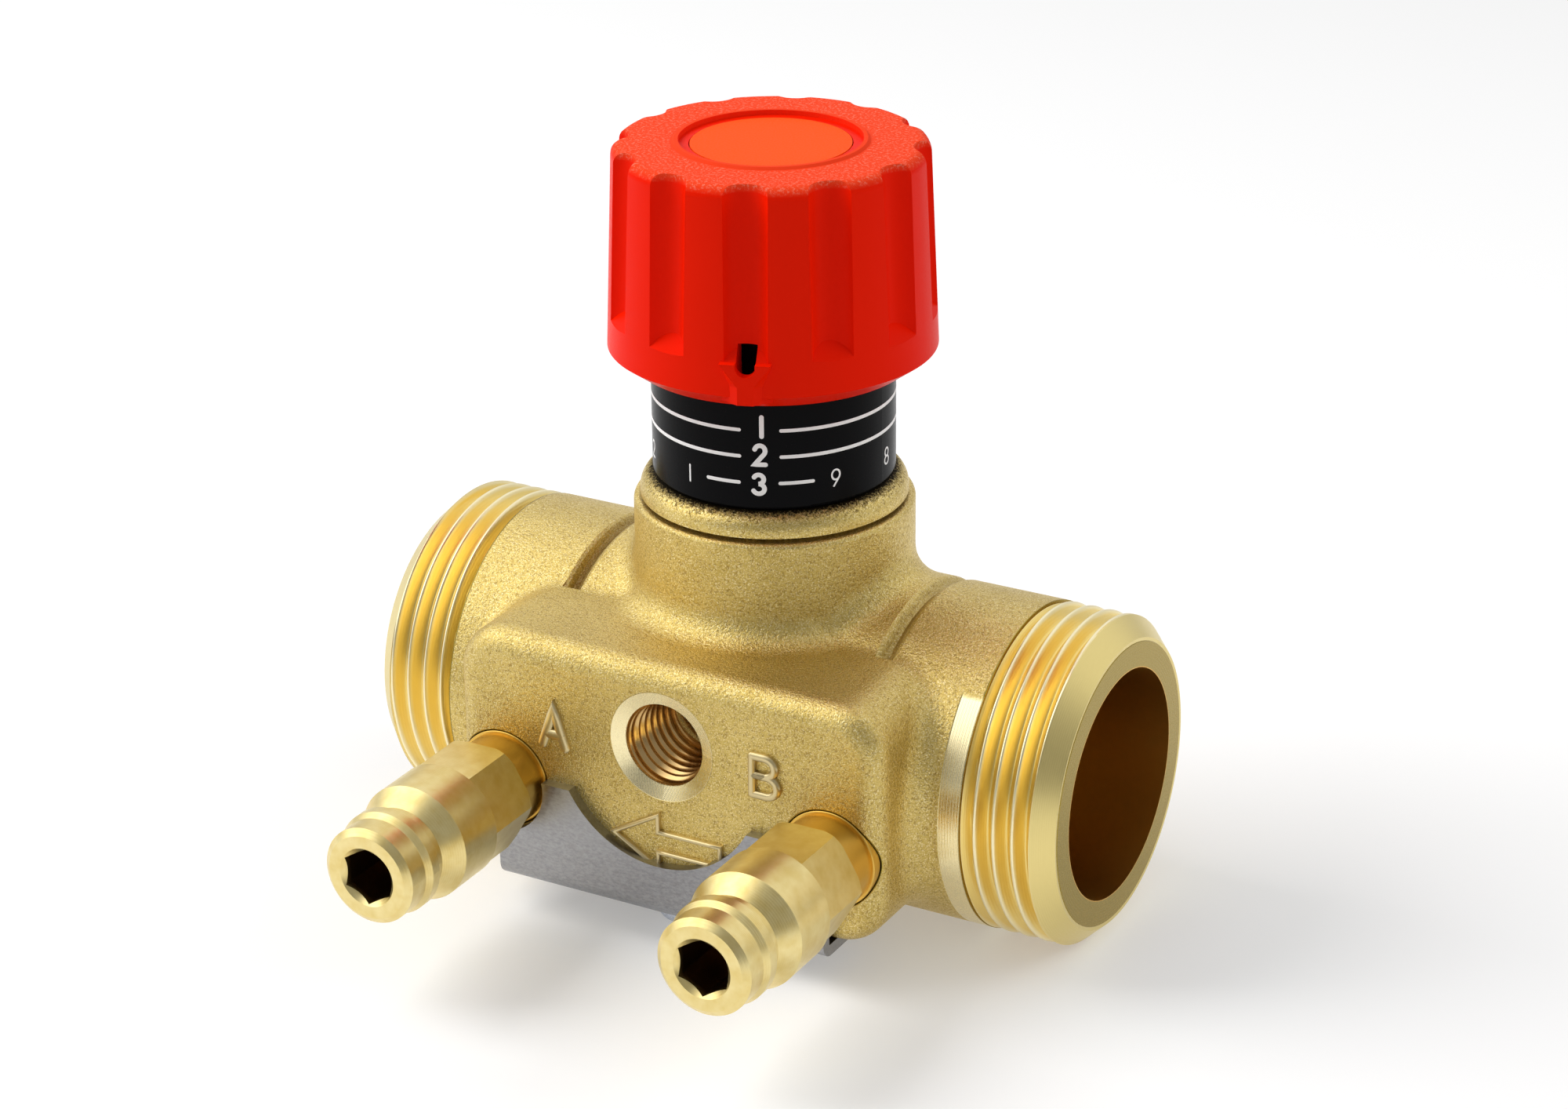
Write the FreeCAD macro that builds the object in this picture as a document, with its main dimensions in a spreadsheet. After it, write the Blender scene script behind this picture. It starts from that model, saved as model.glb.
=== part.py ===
"""Manual balancing valve with rising hand knob, two measuring nipples and an impulse port.

Frame: the origin is the centre of the inlet sealing face, +X points out of the inlet along the
pipe axis, +Z runs up the stem and the measuring nipples point to -Y.  Millimetres.
"""
import FreeCAD, Part
import math
import os
import re

import Sketcher

doc = FreeCAD.newDocument("BalancingValve")
sheet = doc.addObject("Spreadsheet::Sheet", "Sizes")

# Driving dimensions: name, value in millimetres or degrees, meaning
SIZES = [
    ("body_length", 76.0, "pipe end to pipe end"),
    ("pipe_bore", 23.1, "bore of both pipe ends"),
    ("pipe_bore_depth", 24.5, "depth of the bore behind each sealing face"),
    ("end_face", 28.2, "outer diameter of the sealing face"),
    ("end_chamfer", 0.6, "axial length of the chamfer down to the thread root"),
    ("thread_root", 30.1, "root diameter of the pipe thread"),
    ("thread_length", 9.2, "threaded length of each end"),
    ("hub_diameter", 32.8, "cast hub behind each thread"),
    ("crease_place", 17.6, "stem axis to the middle of the crease beside the neck"),
    ("crease_width", 2.2, "width of the crease"),
    ("crease_depth", 0.8, "depth of the crease"),
    ("crease_front", 38.0, "turn of the crease from the top to its front end"),
    ("crease_back", 110.0, "turn of the crease from the top to its back end"),
    ("neck_diameter", 27.84, "outside of the neck"),
    ("neck_top", 23.4, "pipe axis to the neck rim"),
    ("neck_fillet", 3.0, "fillet at the foot of the neck"),
    ("neck_round", 0.5, "rounding of the neck rim"),
    ("neck_bore", 21.8, "threaded bore of the neck"),
    ("block_front", 22.7, "stem axis to the face of the front block"),
    ("block_width", 47.2, "width of the front block"),
    ("block_top", 13.1, "pipe axis to the top of the front block"),
    ("block_bottom", 11.8, "pipe axis to the underside of the front block"),
    ("block_corner", 5.0, "corner radius of the front block"),
    ("block_edge", 2.4, "rounding round the front face"),
    ("block_blend", 3.0, "blend of the front block into the hubs"),
    ("seat_height", 1.0, "pipe axis to the valve seat"),
    ("seat_bore", 14.4, "hole through the seat"),
    ("sump_depth", 11.5, "pipe axis to the floor under the seat"),
    ("inlet_port_size", 10.0, "passage from the inlet to the sump"),
    ("inlet_port_drop", 6.0, "pipe axis down to that passage"),
    ("outlet_port_size", 9.2, "passage from the upper chamber to the outlet"),
    ("outlet_port_rise", 6.4, "pipe axis up to that passage"),
    ("impulse_height", 5.0, "pipe axis to the impulse port"),
    ("impulse_bore", 8.57, "core diameter of the impulse port thread"),
    ("impulse_sink", 11.3, "countersink of the impulse port"),
    ("impulse_sink_depth", 0.55, "depth of that countersink"),
    ("impulse_depth", 10.0, "depth of the impulse port"),
    ("impulse_drill", 3.0, "drilled way from the impulse port to the chamber"),
    ("nipple_spacing", 36.4, "distance between the measuring nipples"),
    ("nipple_drop", 2.5, "pipe axis down to the nipple axes"),
    ("recess_bore", 10.2, "counterbore round each nipple"),
    ("recess_depth", 2.2, "depth of that counterbore"),
    ("nipple_seal_bore", 10.2, "bore for the nipple ring"),
    ("nipple_seal_depth", 6.2, "depth of that bore behind the block face"),
    ("nipple_thread", 8.0, "threaded shank of the nipples"),
    ("nipple_hole_depth", 10.4, "depth of the threaded hole behind the block face"),
    ("nipple_drill", 3.0, "drilled way from each nipple to the pipe bore"),
    ("nipple_reach", 23.75, "block face to the nipple tip"),
    ("nipple_face", 8.5, "flat tip of the nipple"),
    ("nipple_head", 9.8, "head behind the tip chamfer"),
    ("nipple_collar", 10.55, "catch collar"),
    ("nipple_groove", 9.1, "groove behind the collar"),
    ("nipple_barrel", 11.86, "main barrel"),
    ("nipple_chamfer", 0.55, "tip to the end of the tip chamfer"),
    ("nipple_ramp", 2.7, "tip to the ramp of the collar"),
    ("nipple_collar_start", 3.4, "tip to the crest of the collar"),
    ("nipple_collar_end", 4.5, "tip to the rear of the collar"),
    ("nipple_groove_start", 4.9, "tip to the groove"),
    ("nipple_groove_end", 6.0, "tip to the cone behind the groove"),
    ("nipple_cone_end", 8.0, "tip to the barrel"),
    ("nipple_barrel_end", 20.1, "tip to the rear of the barrel"),
    ("nipple_rear_chamfer", 0.6, "chamfer at the rear of the barrel"),
    ("nipple_ring_depth", 4.2, "block face to the nipple ring"),
    ("nipple_hex", 10.2, "across flats of the spanner hexagon"),
    ("nipple_hex_length", 6.8, "length of the hexagon"),
    ("nipple_neck", 9.4, "neck that enters the block"),
    ("nipple_neck_depth", 5.9, "neck length inside the block"),
    ("nipple_shank_depth", 9.6, "shank length inside the block"),
    ("nipple_socket", 5.0, "across flats of the hexagon socket"),
    ("nipple_socket_sink", 6.04, "lead-in of the socket"),
    ("nipple_socket_depth", 7.0, "depth of the socket"),
    ("nipple_bore", 2.4, "way through the nipple"),
    ("nipple_ring_section", 1.1, "section of the nipple ring"),
    ("plate_thickness", 1.2, "sheet of the retaining plate"),
    ("plate_width", 36.6, "width of the retaining plate"),
    ("plate_rise", 1.5, "pipe axis down to the top of the plate"),
    ("plate_arc_low", 7.4, "pipe axis down to the lowest point of the arc"),
    ("plate_arc_radius", 11.3, "radius of the arc cut-out"),
    ("plate_clear", 0.7, "gap between the folded foot and the barrel"),
    ("plate_bend", 1.6, "outer bend radius"),
    ("plate_notch", 10.4, "notch round each nipple neck"),
    ("screw_inset", 4.2, "block face to the plate screw"),
    ("screw_thread", 3.0, "plate screw thread"),
    ("screw_head", 5.6, "plate screw head"),
    ("screw_head_height", 2.1, "height of that head"),
    ("screw_head_round", 1.0, "rounding of that head"),
    ("screw_length", 7.0, "length of the screw in the block"),
    ("screw_hole_depth", 7.5, "depth of its hole in the block"),
    ("bonnet_shoulder", 26.2, "pipe axis to the bonnet shoulder"),
    ("bonnet_rim", 26.5, "outside of the bonnet shoulder"),
    ("bonnet_groove", 0.4, "gap between neck and shoulder"),
    ("bonnet_groove_depth", 0.8, "depth of that gap"),
    ("bonnet_round", 2.0, "rounding of the shoulder"),
    ("bonnet_foot", 17.2, "pipe axis to the lower end of the bonnet"),
    ("tower_diameter", 17.9, "bonnet tower inside the drum"),
    ("tower_top", 36.5, "pipe axis to the top of that tower"),
    ("thread_play", 0.05, "radial play of a screwed joint"),
    ("running_play", 0.05, "radial play of the spindle"),
    ("ring_play", 0.03, "play of a sealing ring in its groove"),
    ("ring_side", 0.2, "room beside a sealing ring in its groove"),
    ("bonnet_ring_section", 1.1, "section of the bonnet ring"),
    ("bonnet_ring_height", 19.6, "pipe axis to the bonnet ring"),
    ("spindle_ring_section", 1.1, "section of the spindle rings"),
    ("spindle_ring_low", 29.5, "pipe axis to the lower spindle ring"),
    ("spindle_ring_high", 33.5, "pipe axis to the upper spindle ring"),
    ("drum_diameter", 23.92, "scale drum"),
    ("drum_top", 43.5, "pipe axis to the top of the drum"),
    ("drum_edge", 0.4, "edge rounding of the drum"),
    ("drum_web", 1.1, "web of the drum on top of the tower"),
    ("drum_web_bore", 14.0, "hole in that web"),
    ("drum_bore", 18.8, "bore of the drum above the web"),
    ("spindle_diameter", 8.0, "spindle"),
    ("spindle_foot", 10.4, "collar at the spindle foot"),
    ("spindle_foot_height", 1.5, "height of that collar"),
    ("spindle_base", 13.5, "pipe axis to the spindle foot, valve open"),
    ("spindle_end", 0.6, "spindle end above its clip"),
    ("spindle_waist", 6.8, "groove for the knob clip"),
    ("knob_clip", 10.0, "outside of the knob clip"),
    ("stop_bore", 3.4, "threaded bore for the stop screw"),
    ("stop_bore_floor", 20.0, "pipe axis to the floor of that bore"),
    ("stop_screw_low", 24.0, "pipe axis to the lower end of the stop screw"),
    ("stop_screw_length", 18.0, "length of the stop screw"),
    ("stop_socket", 1.5, "across flats of its socket"),
    ("stop_socket_depth", 2.0, "depth of its socket"),
    ("lift", 8.6, "travel of the knob from open to closed"),
    ("seal_gap", 0.3, "gap left under the seal when closed"),
    ("seal_diameter", 17.2, "soft seal of the cone"),
    ("seal_height", 2.0, "height of the soft seal"),
    ("seal_bore", 10.4, "bore of the soft seal"),
    ("nose_diameter", 13.4, "throttling nose"),
    ("nose_tip", 9.0, "lower end of the nose"),
    ("nose_height", 4.0, "length of the nose"),
    ("cone_flange", 1.3, "flange above the seal"),
    ("cone_boss", 14.4, "boss that holds the spindle foot"),
    ("cone_top", 16.5, "pipe axis to the top of the cone, valve open"),
    ("clip_thickness", 0.8, "thickness of the spring clips"),
    ("clip_width", 1.5, "radial width of the cone clip"),
    ("clip_groove", 0.6, "depth of the groove for the cone clip"),
    ("foot_play", 0.1, "play round the spindle foot"),
    ("knob_bottom", 37.66, "pipe axis to the lower edge of the knob"),
    ("knob_edge", 27.6, "outside of that lower edge"),
    ("knob_rim", 32.2, "largest diameter of the knob"),
    ("knob_rim_height", 1.64, "lower edge to the rim"),
    ("knob_crown", 30.5, "outside at the top"),
    ("knob_top", 59.4, "pipe axis to the top ring"),
    ("knob_round", 1.2, "rounding of the top edge"),
    ("knob_lip", 0.25, "height of the lip round the cap"),
    ("knob_lip_outer", 19.0, "outside of that lip"),
    ("knob_lip_inner", 17.7, "inside of that lip"),
    ("knob_floor", 58.2, "pipe axis to the floor under the cap"),
    ("knob_shelf", 59.15, "pipe axis to the shelf round the cap"),
    ("knob_well", 12.0, "well over the spindle end"),
    ("knob_well_floor", 55.2, "pipe axis to the floor of the well"),
    ("knob_ceiling", 53.5, "pipe axis to the underside of the crown"),
    ("knob_cavity", 25.2, "inside of the skirt"),
    ("knob_hub", 11.2, "hub on the spindle"),
    ("knob_hub_bottom", 46.0, "pipe axis to the lower end of the hub"),
    ("knob_press", 0.02, "play of the knob on the spindle"),
    ("knob_angle", 20.2, "turn of the pointer from the front"),
    ("flute_count", 12, "flutes round the knob"),
    ("flute_radius", 2.3, "radius of a flute"),
    ("flute_depth", 1.6, "depth of a flute below the skirt"),
    ("flute_bottom", 42.4, "pipe axis to the lower end of the flutes"),
    ("pointer_width", 4.9, "width of the pointer"),
    ("pointer_tip", 1.5, "width of the pointer tip"),
    ("pointer_top", 42.7, "pipe axis to the top of the pointer"),
    ("pointer_waist", 40.45, "pipe axis to the start of the tip"),
    ("pointer_low", 38.7, "pipe axis to the lower end of the tip"),
    ("pointer_stand", 0.5, "height of the pointer above the rim"),
    ("pointer_sink", 0.8, "depth of the pointer's foot below the rim"),
    ("slot_width", 1.9, "window above the pointer"),
    ("slot_height", 2.65, "height of that window"),
    ("slot_low", 41.45, "pipe axis to the bottom of the window"),
    ("slot_wall", 1.0, "wall in front of the undercut behind the window"),
    ("slot_drop", 1.6, "undercut below the window"),
    ("cap_diameter", 15.5, "cap in the knob"),
    ("cap_gap", 0.1, "gap round the cap"),
    ("cap_top", 59.2, "pipe axis to the top of the cap"),
    ("cap_plug_depth", 0.6, "depth of the plug under the cap"),
    ("cap_plug_play", 0.1, "radial play of that plug"),
]
for row, (alias, value, meaning) in enumerate(SIZES, start=1):
    sheet.set(f"A{row}", meaning)
    sheet.set(f"B{row}", str(value))
    sheet.setAlias(f"B{row}", alias)
doc.recompute()
ALIASES = {alias for alias, value, meaning in SIZES}


def linked(expression):
    """Turn bare size names into references to the sheet."""
    return re.sub(r"[a-z_]+", lambda m: f"Sizes.{m[0]}" if m[0] in ALIASES else m[0], expression)


def value_of(expression):
    """Present value of an expression in size names."""
    return float(sheet.evalExpression(linked(expression)))


def new_body(label, aside="0", ahead="0", rise="0", turn="0"):
    """An empty body, placed from the stem axis by its shift along X, Y and Z and turned about Z."""
    body = doc.addObject("PartDesign::Body", label)
    body.Label = label
    body.Placement = FreeCAD.Placement(FreeCAD.Vector(), FreeCAD.Rotation(FreeCAD.Vector(0, 0, 1), 0))
    body.setExpression("Placement.Base.x", linked(f"-body_length / 2 + {aside}"))
    body.setExpression("Placement.Base.y", linked(ahead))
    body.setExpression("Placement.Base.z", linked(rise))
    body.setExpression("Placement.Rotation.Angle", linked(turn))
    return body


def new_sketch(body, role, shift="0"):
    """A sketch on one of the body's own origin planes, shifted along its normal."""
    sketch = body.newObject("Sketcher::SketchObject", body.Name + "_sketch")
    plane = next(f for f in body.Origin.OriginFeatures if f.Role == role)
    sketch.AttachmentSupport = (plane, [""])
    sketch.MapMode = "FlatFace"
    sketch.setExpression("AttachmentOffset.Base.z", linked(shift))
    return sketch


def fix_point(sketch, geometry, position, point):
    """Tie a point of the sketch to a pair of expressions."""
    for kind, axis, expression in (("DistanceX", -2, point[0]), ("DistanceY", -1, point[1])):
        if expression == "0":
            sketch.addConstraint(Sketcher.Constraint("PointOnObject", geometry, position, axis))
            continue
        start = value_of(expression)
        index = sketch.addConstraint(Sketcher.Constraint(kind, -1, 1, geometry, position, start))
        sketch.setExpression(f"Constraints[{index}]", linked(expression))


def polygon(sketch, points):
    """A closed outline through points given as pairs of expressions."""
    places = [FreeCAD.Vector(value_of(x), value_of(y), 0) for x, y in points]
    count = len(points)
    first = sketch.GeometryCount
    for i in range(count):
        sketch.addGeometry(Part.LineSegment(places[i], places[(i + 1) % count]))
    for i in range(count):
        follower = first + (i + 1) % count
        sketch.addConstraint(Sketcher.Constraint("Coincident", first + i, 2, follower, 1))
    for i in range(count):
        fix_point(sketch, first + i, 1, points[i])


def circle(sketch, centre, radius):
    """A circle with its centre and radius given as expressions."""
    middle = FreeCAD.Vector(value_of(centre[0]), value_of(centre[1]), 0)
    shape = Part.Circle(middle, FreeCAD.Vector(0, 0, 1), value_of(radius))
    geometry = sketch.addGeometry(shape)
    if centre == ("0", "0"):
        sketch.addConstraint(Sketcher.Constraint("Coincident", geometry, 3, -1, 1))
    else:
        fix_point(sketch, geometry, 3, centre)
    index = sketch.addConstraint(Sketcher.Constraint("Radius", geometry, value_of(radius)))
    sketch.setExpression(f"Constraints[{index}]", linked(radius))


def hexagon(sketch, across_flats, flat_up=False):
    """A regular hexagon about the sketch origin, with a corner or a flat at the top."""
    half = f"{across_flats} / 2"
    corner = f"{across_flats} / sqrt(3)"
    low = f"{across_flats} / sqrt(12)"
    points = [(half, low), ("0", corner), (f"-{half}", low),
              (f"-{half}", f"-{low}"), ("0", f"-{corner}"), (half, f"-{low}")]
    if flat_up:
        points = [(y, x) for x, y in reversed(points)]
    polygon(sketch, points)


def feature(body, kind, sketch, **settings):
    """Add a sketch based feature; text settings are expressions."""
    made = body.newObject("PartDesign::" + kind, body.Name + "_" + kind)
    made.Profile = sketch
    for name, setting in settings.items():
        if isinstance(setting, str) and name not in ("Type", "SideType"):
            made.setExpression(name, linked(setting))
        else:
            setattr(made, name, setting)
    doc.recompute()
    return made


def turn_solid(body, kind, role, points, axis="V_Axis"):
    """Revolve a closed outline about an axis of its sketch, as a solid or as a cut."""
    sketch = new_sketch(body, role)
    polygon(sketch, points)
    return feature(body, kind, sketch, ReferenceAxis=(sketch, [axis]), Angle=360.0)


def turned(label, points, **place):
    """A body of revolution about Z from an outline of radius and height."""
    body = new_body(label, **place)
    turn_solid(body, "Revolution", "XZ_Plane", points)
    return body


def ring(label, radius, height, section, role="XZ_Plane", **place):
    """A sealing ring of round section about the vertical axis of its sketch."""
    body = new_body(label, **place)
    sketch = new_sketch(body, role)
    circle(sketch, (radius, height), f"{section} / 2")
    feature(body, "Revolution", sketch, ReferenceAxis=(sketch, ["V_Axis"]), Angle=360.0)
    return body


def washer(label, inner, outer, low, high):
    """A flat ring about the stem axis."""
    return turned(label, [(inner, low), (outer, low), (outer, high), (inner, high)])


def edges_of(body, wanted):
    """Names of the edges of the body whose middle point passes the test."""
    names = []
    for number, edge in enumerate(body.Tip.Shape.Edges, start=1):
        middle = edge.valueAt((edge.FirstParameter + edge.LastParameter) / 2)
        if wanted(middle, edge):
            names.append(f"Edge{number}")
    return names


def round_edges(body, radius, wanted):
    """Fillet the edges that pass the test."""
    base = body.Tip
    names = edges_of(body, wanted)
    fillet = body.newObject("PartDesign::Fillet", body.Name + "_Fillet")
    fillet.Base = (base, names)
    fillet.setExpression("Radius", linked(radius))
    doc.recompute()
    return fillet


def cut_edges(body, size, wanted, second=None):
    """Chamfer the edges that pass the test, with one size or with two."""
    base = body.Tip
    names = edges_of(body, wanted)
    chamfer = body.newObject("PartDesign::Chamfer", body.Name + "_Chamfer")
    chamfer.Base = (base, names)
    chamfer.setExpression("Size", linked(size))
    if second:
        chamfer.ChamferType = "Two distances"
        chamfer.setExpression("Size2", linked(second))
    doc.recompute()
    return chamfer


def repeat(body, kind, made, **settings):
    """Mirror or pattern a feature and make the copy the body's result."""
    copy = body.newObject("PartDesign::" + kind, body.Name + "_" + kind)
    copy.Originals = [made]
    for name, setting in settings.items():
        if isinstance(setting, str):
            copy.setExpression(name, linked(setting))
        else:
            setattr(copy, name, setting)
    body.Tip = copy
    doc.recompute()
    return copy


def origin_part(body, role):
    """An axis or plane of the body's origin."""
    return next(f for f in body.Origin.OriginFeatures if f.Role == role)


def near(a, b):
    """Whether two lengths agree."""
    return abs(a - b) < 0.01


def is_circle(edge, radius):
    """Whether an edge is a circle or arc of this radius."""
    return isinstance(edge.Curve, Part.Circle) and near(edge.Curve.Radius, value_of(radius))


# Cast body
def barrel(body):
    """Barrel with the root cylinders of the threads at its ends."""
    half = "body_length / 2"
    half_profile = [
        (half, "end_face / 2"),
        (f"{half} - end_chamfer", "thread_root / 2"),
        (f"{half} - thread_length", "thread_root / 2"),
        (f"{half} - thread_length", "hub_diameter / 2"),
    ]
    mirrored = [(f"-({x})", r) for x, r in reversed(half_profile)]
    outline = [(half, "0")] + half_profile + mirrored + [(f"-({half})", "0")]
    turn_solid(body, "Revolution", "XZ_Plane", outline, "H_Axis")


def front_block(body):
    """Block for the ports with rounded corners and a rounded face edge."""
    block = new_sketch(body, "XZ_Plane")
    side = "block_width / 2"
    polygon(block, [(f"-{side}", "-block_bottom"), (side, "-block_bottom"),
                    (side, "block_top"), (f"-{side}", "block_top")])
    feature(body, "Pad", block, Length="block_front")
    width = value_of(side)
    front = value_of("block_front")
    round_edges(body, "block_corner", lambda p, e: near(abs(p.x), width) and near(e.BoundBox.XLength, 0)
                and near(e.BoundBox.ZLength, 0) and e.BoundBox.YMin < -front + 0.01)
    round_edges(body, "block_edge", lambda p, e: near(p.y, -front) and near(e.BoundBox.YLength, 0))
    hub = value_of("hub_diameter / 2")
    round_edges(body, "block_blend", lambda p, e: near(math.hypot(p.y, p.z), hub) and p.y < 0
                and abs(p.x) < width + 0.01)


def neck(body):
    """Neck that rises from the barrel and the block, with a fillet all round its foot."""
    post = new_sketch(body, "XY_Plane")
    circle(post, ("0", "0"), "neck_diameter / 2")
    feature(body, "Pad", post, Length="neck_top")
    radius = value_of("neck_diameter / 2")
    top = value_of("neck_top")
    round_edges(body, "neck_fillet", lambda p, e: near(math.hypot(p.x, p.y), radius) and p.z < top - 1
                and e.BoundBox.ZMax < top - 1)
    round_edges(body, "neck_round", lambda p, e: near(p.z, top) and near(e.BoundBox.XLength, 2 * radius))


def creases(body):
    """Crease across the top of the barrel on each side of the neck."""
    wide = "hub_diameter / 2"
    lip = f"{wide} - crease_depth / 5"
    flank = f"{wide} - crease_depth * 0.75"
    deep = f"{wide} - crease_depth"
    crease = turn_solid(body, "Groove", "XZ_Plane", [
        ("crease_place - crease_width / 2", wide), ("crease_place - crease_width / 3", lip),
        ("crease_place - crease_width / 6", flank), ("crease_place", deep),
        ("crease_place + crease_width / 6", flank), ("crease_place + crease_width / 3", lip),
        ("crease_place + crease_width / 2", wide),
        ("crease_place + crease_width / 2", f"{wide} + crease_depth"),
        ("crease_place - crease_width / 2", f"{wide} + crease_depth")], "H_Axis")
    crease.Type = "TwoAngles"
    crease.setExpression("Angle", linked("crease_front * 1 deg"))
    crease.setExpression("Angle2", linked("crease_back * 1 deg"))
    crease.Document.recompute()
    repeat(body, "Mirrored", crease, MirrorPlane=(origin_part(body, "YZ_Plane"), [""]))


def valve_body():
    """Barrel with two threaded ends, front block and neck, with its waterways."""
    body = new_body("valve_body")
    barrel(body)
    front_block(body)
    neck(body)
    creases(body)
    half = "body_length / 2"
    front = value_of("block_front")
    # Upper chamber, seat and sump on the stem axis
    turn_solid(body, "Groove", "XZ_Plane", [
        ("0", "neck_top"), ("neck_bore / 2", "neck_top"), ("neck_bore / 2", "seat_height"),
        ("seat_bore / 2", "seat_height"), ("seat_bore / 2", "-sump_depth"), ("0", "-sump_depth")])
    # Pipe bores
    blind = f"{half} - pipe_bore_depth"
    bore = turn_solid(body, "Groove", "XZ_Plane", [
        (blind, "0"), (half, "0"), (half, "pipe_bore / 2"), (blind, "pipe_bore / 2")], "H_Axis")
    repeat(body, "Mirrored", bore, MirrorPlane=(origin_part(body, "YZ_Plane"), [""]))
    # Ways from the inlet to the sump and from the upper chamber to the outlet
    inlet_way = new_sketch(body, "YZ_Plane")
    circle(inlet_way, ("0", "-inlet_port_drop"), "inlet_port_size / 2")
    feature(body, "Pocket", inlet_way, Length=f"{blind} + thread_play", Reversed=True)
    outlet_way = new_sketch(body, "YZ_Plane")
    circle(outlet_way, ("0", "outlet_port_rise"), "outlet_port_size / 2")
    feature(body, "Pocket", outlet_way, Length=f"{blind} + thread_play")
    # Impulse port: countersunk threaded hole and a drilled way to the upper chamber
    for size, depth_of in (("impulse_bore / 2", "impulse_depth"),
                           ("impulse_drill / 2", "block_front - neck_bore / 2 + impulse_drill")):
        port = new_sketch(body, "XZ_Plane", "block_front")
        circle(port, ("0", "impulse_height"), size)
        feature(body, "Pocket", port, Length=depth_of)
    cut_edges(body, "(impulse_sink - impulse_bore) / 2",
              lambda p, e: near(p.y, -front) and is_circle(e, "impulse_bore / 2"), "impulse_sink_depth")
    # Nipple holes
    for size, depth_of in (("recess_bore / 2", "recess_depth"),
                           ("nipple_seal_bore / 2", "nipple_seal_depth"),
                           ("nipple_thread / 2 + thread_play", "nipple_hole_depth"),
                           ("nipple_drill / 2", "block_front - pipe_bore / 2 + nipple_drill")):
        holes = new_sketch(body, "XZ_Plane", "block_front")
        circle(holes, ("nipple_spacing / 2", "-nipple_drop"), size)
        circle(holes, ("-nipple_spacing / 2", "-nipple_drop"), size)
        feature(body, "Pocket", holes, Length=depth_of)
    # Hole for the plate screw
    tapped = new_sketch(body, "XY_Plane", "-block_bottom")
    circle(tapped, ("0", "-block_front + screw_inset"), "screw_thread / 2 + thread_play")
    feature(body, "Pocket", tapped, Length="screw_hole_depth", Reversed=True)
    return body


# Bonnet and scale drum
def slot(height, section):
    """Lower and upper side of the groove for a sealing ring."""
    return f"{height} - {section} / 2 - ring_side", f"{height} + {section} / 2 + ring_side"


def bonnet():
    """Screwed bonnet with rounded shoulder, tower and spindle bore."""
    bore = "spindle_diameter / 2 + running_play"
    deep = f"{bore} + spindle_ring_section + ring_play"
    plug = "neck_bore / 2 - thread_play"
    waist = f"{plug} - bonnet_ring_section"
    low, high = slot("bonnet_ring_height", "bonnet_ring_section")
    first, second = slot("spindle_ring_low", "spindle_ring_section")
    third, fourth = slot("spindle_ring_high", "spindle_ring_section")
    gap = "bonnet_rim / 2 - bonnet_groove_depth"
    body = turned("bonnet", [
        (bore, "bonnet_foot"), (plug, "bonnet_foot"),
        (plug, low), (waist, low), (waist, high), (plug, high),
        (plug, "neck_top"), (gap, "neck_top"), (gap, "neck_top + bonnet_groove"),
        ("bonnet_rim / 2", "neck_top + bonnet_groove"), ("bonnet_rim / 2", "bonnet_shoulder"),
        ("tower_diameter / 2", "bonnet_shoulder"), ("tower_diameter / 2", "tower_top"), (bore, "tower_top"),
        (bore, fourth), (deep, fourth), (deep, third), (bore, third),
        (bore, second), (deep, second), (deep, first), (bore, first),
    ])
    rim = value_of("bonnet_rim / 2")
    shoulder = value_of("bonnet_shoulder")
    round_edges(body, "bonnet_round", lambda p, e: near(p.z, shoulder) and near(e.BoundBox.XLength, 2 * rim))
    return body


def scale_drum():
    """Sleeve over the bonnet tower, with a web that rests on the tower."""
    inner = "tower_diameter / 2 + ring_play"
    body = turned("scale_drum", [
        (inner, "bonnet_shoulder"), ("drum_diameter / 2", "bonnet_shoulder"),
        ("drum_diameter / 2", "drum_top"), ("drum_bore / 2", "drum_top"),
        ("drum_bore / 2", "tower_top + drum_web"), ("drum_web_bore / 2", "tower_top + drum_web"),
        ("drum_web_bore / 2", "tower_top"), (inner, "tower_top"),
    ])
    wide = value_of("drum_diameter")
    round_edges(body, "drum_edge",
                lambda p, e: near(e.BoundBox.XLength, wide) and near(e.BoundBox.ZLength, 0))
    return body


def sealing_rings():
    """Rings of the bonnet thread and of the spindle."""
    ring("bonnet_o_ring", "neck_bore / 2 - thread_play / 2 - bonnet_ring_section / 2",
         "bonnet_ring_height", "bonnet_ring_section")
    for place in ("low", "high"):
        ring(f"spindle_o_ring_{place}", "spindle_diameter / 2 + running_play + spindle_ring_section / 2",
             f"spindle_ring_{place}", "spindle_ring_section")


# Throttle cone
SEAL_LOW = "seat_height + lift + seal_gap"
SEAL_HIGH = f"{SEAL_LOW} + seal_height"
FOOT_BORE = "spindle_foot / 2 + foot_play"
CLIP_LOW = "spindle_base + spindle_foot_height + foot_play"
CLIP_HIGH = f"{CLIP_LOW} + clip_thickness"


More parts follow.
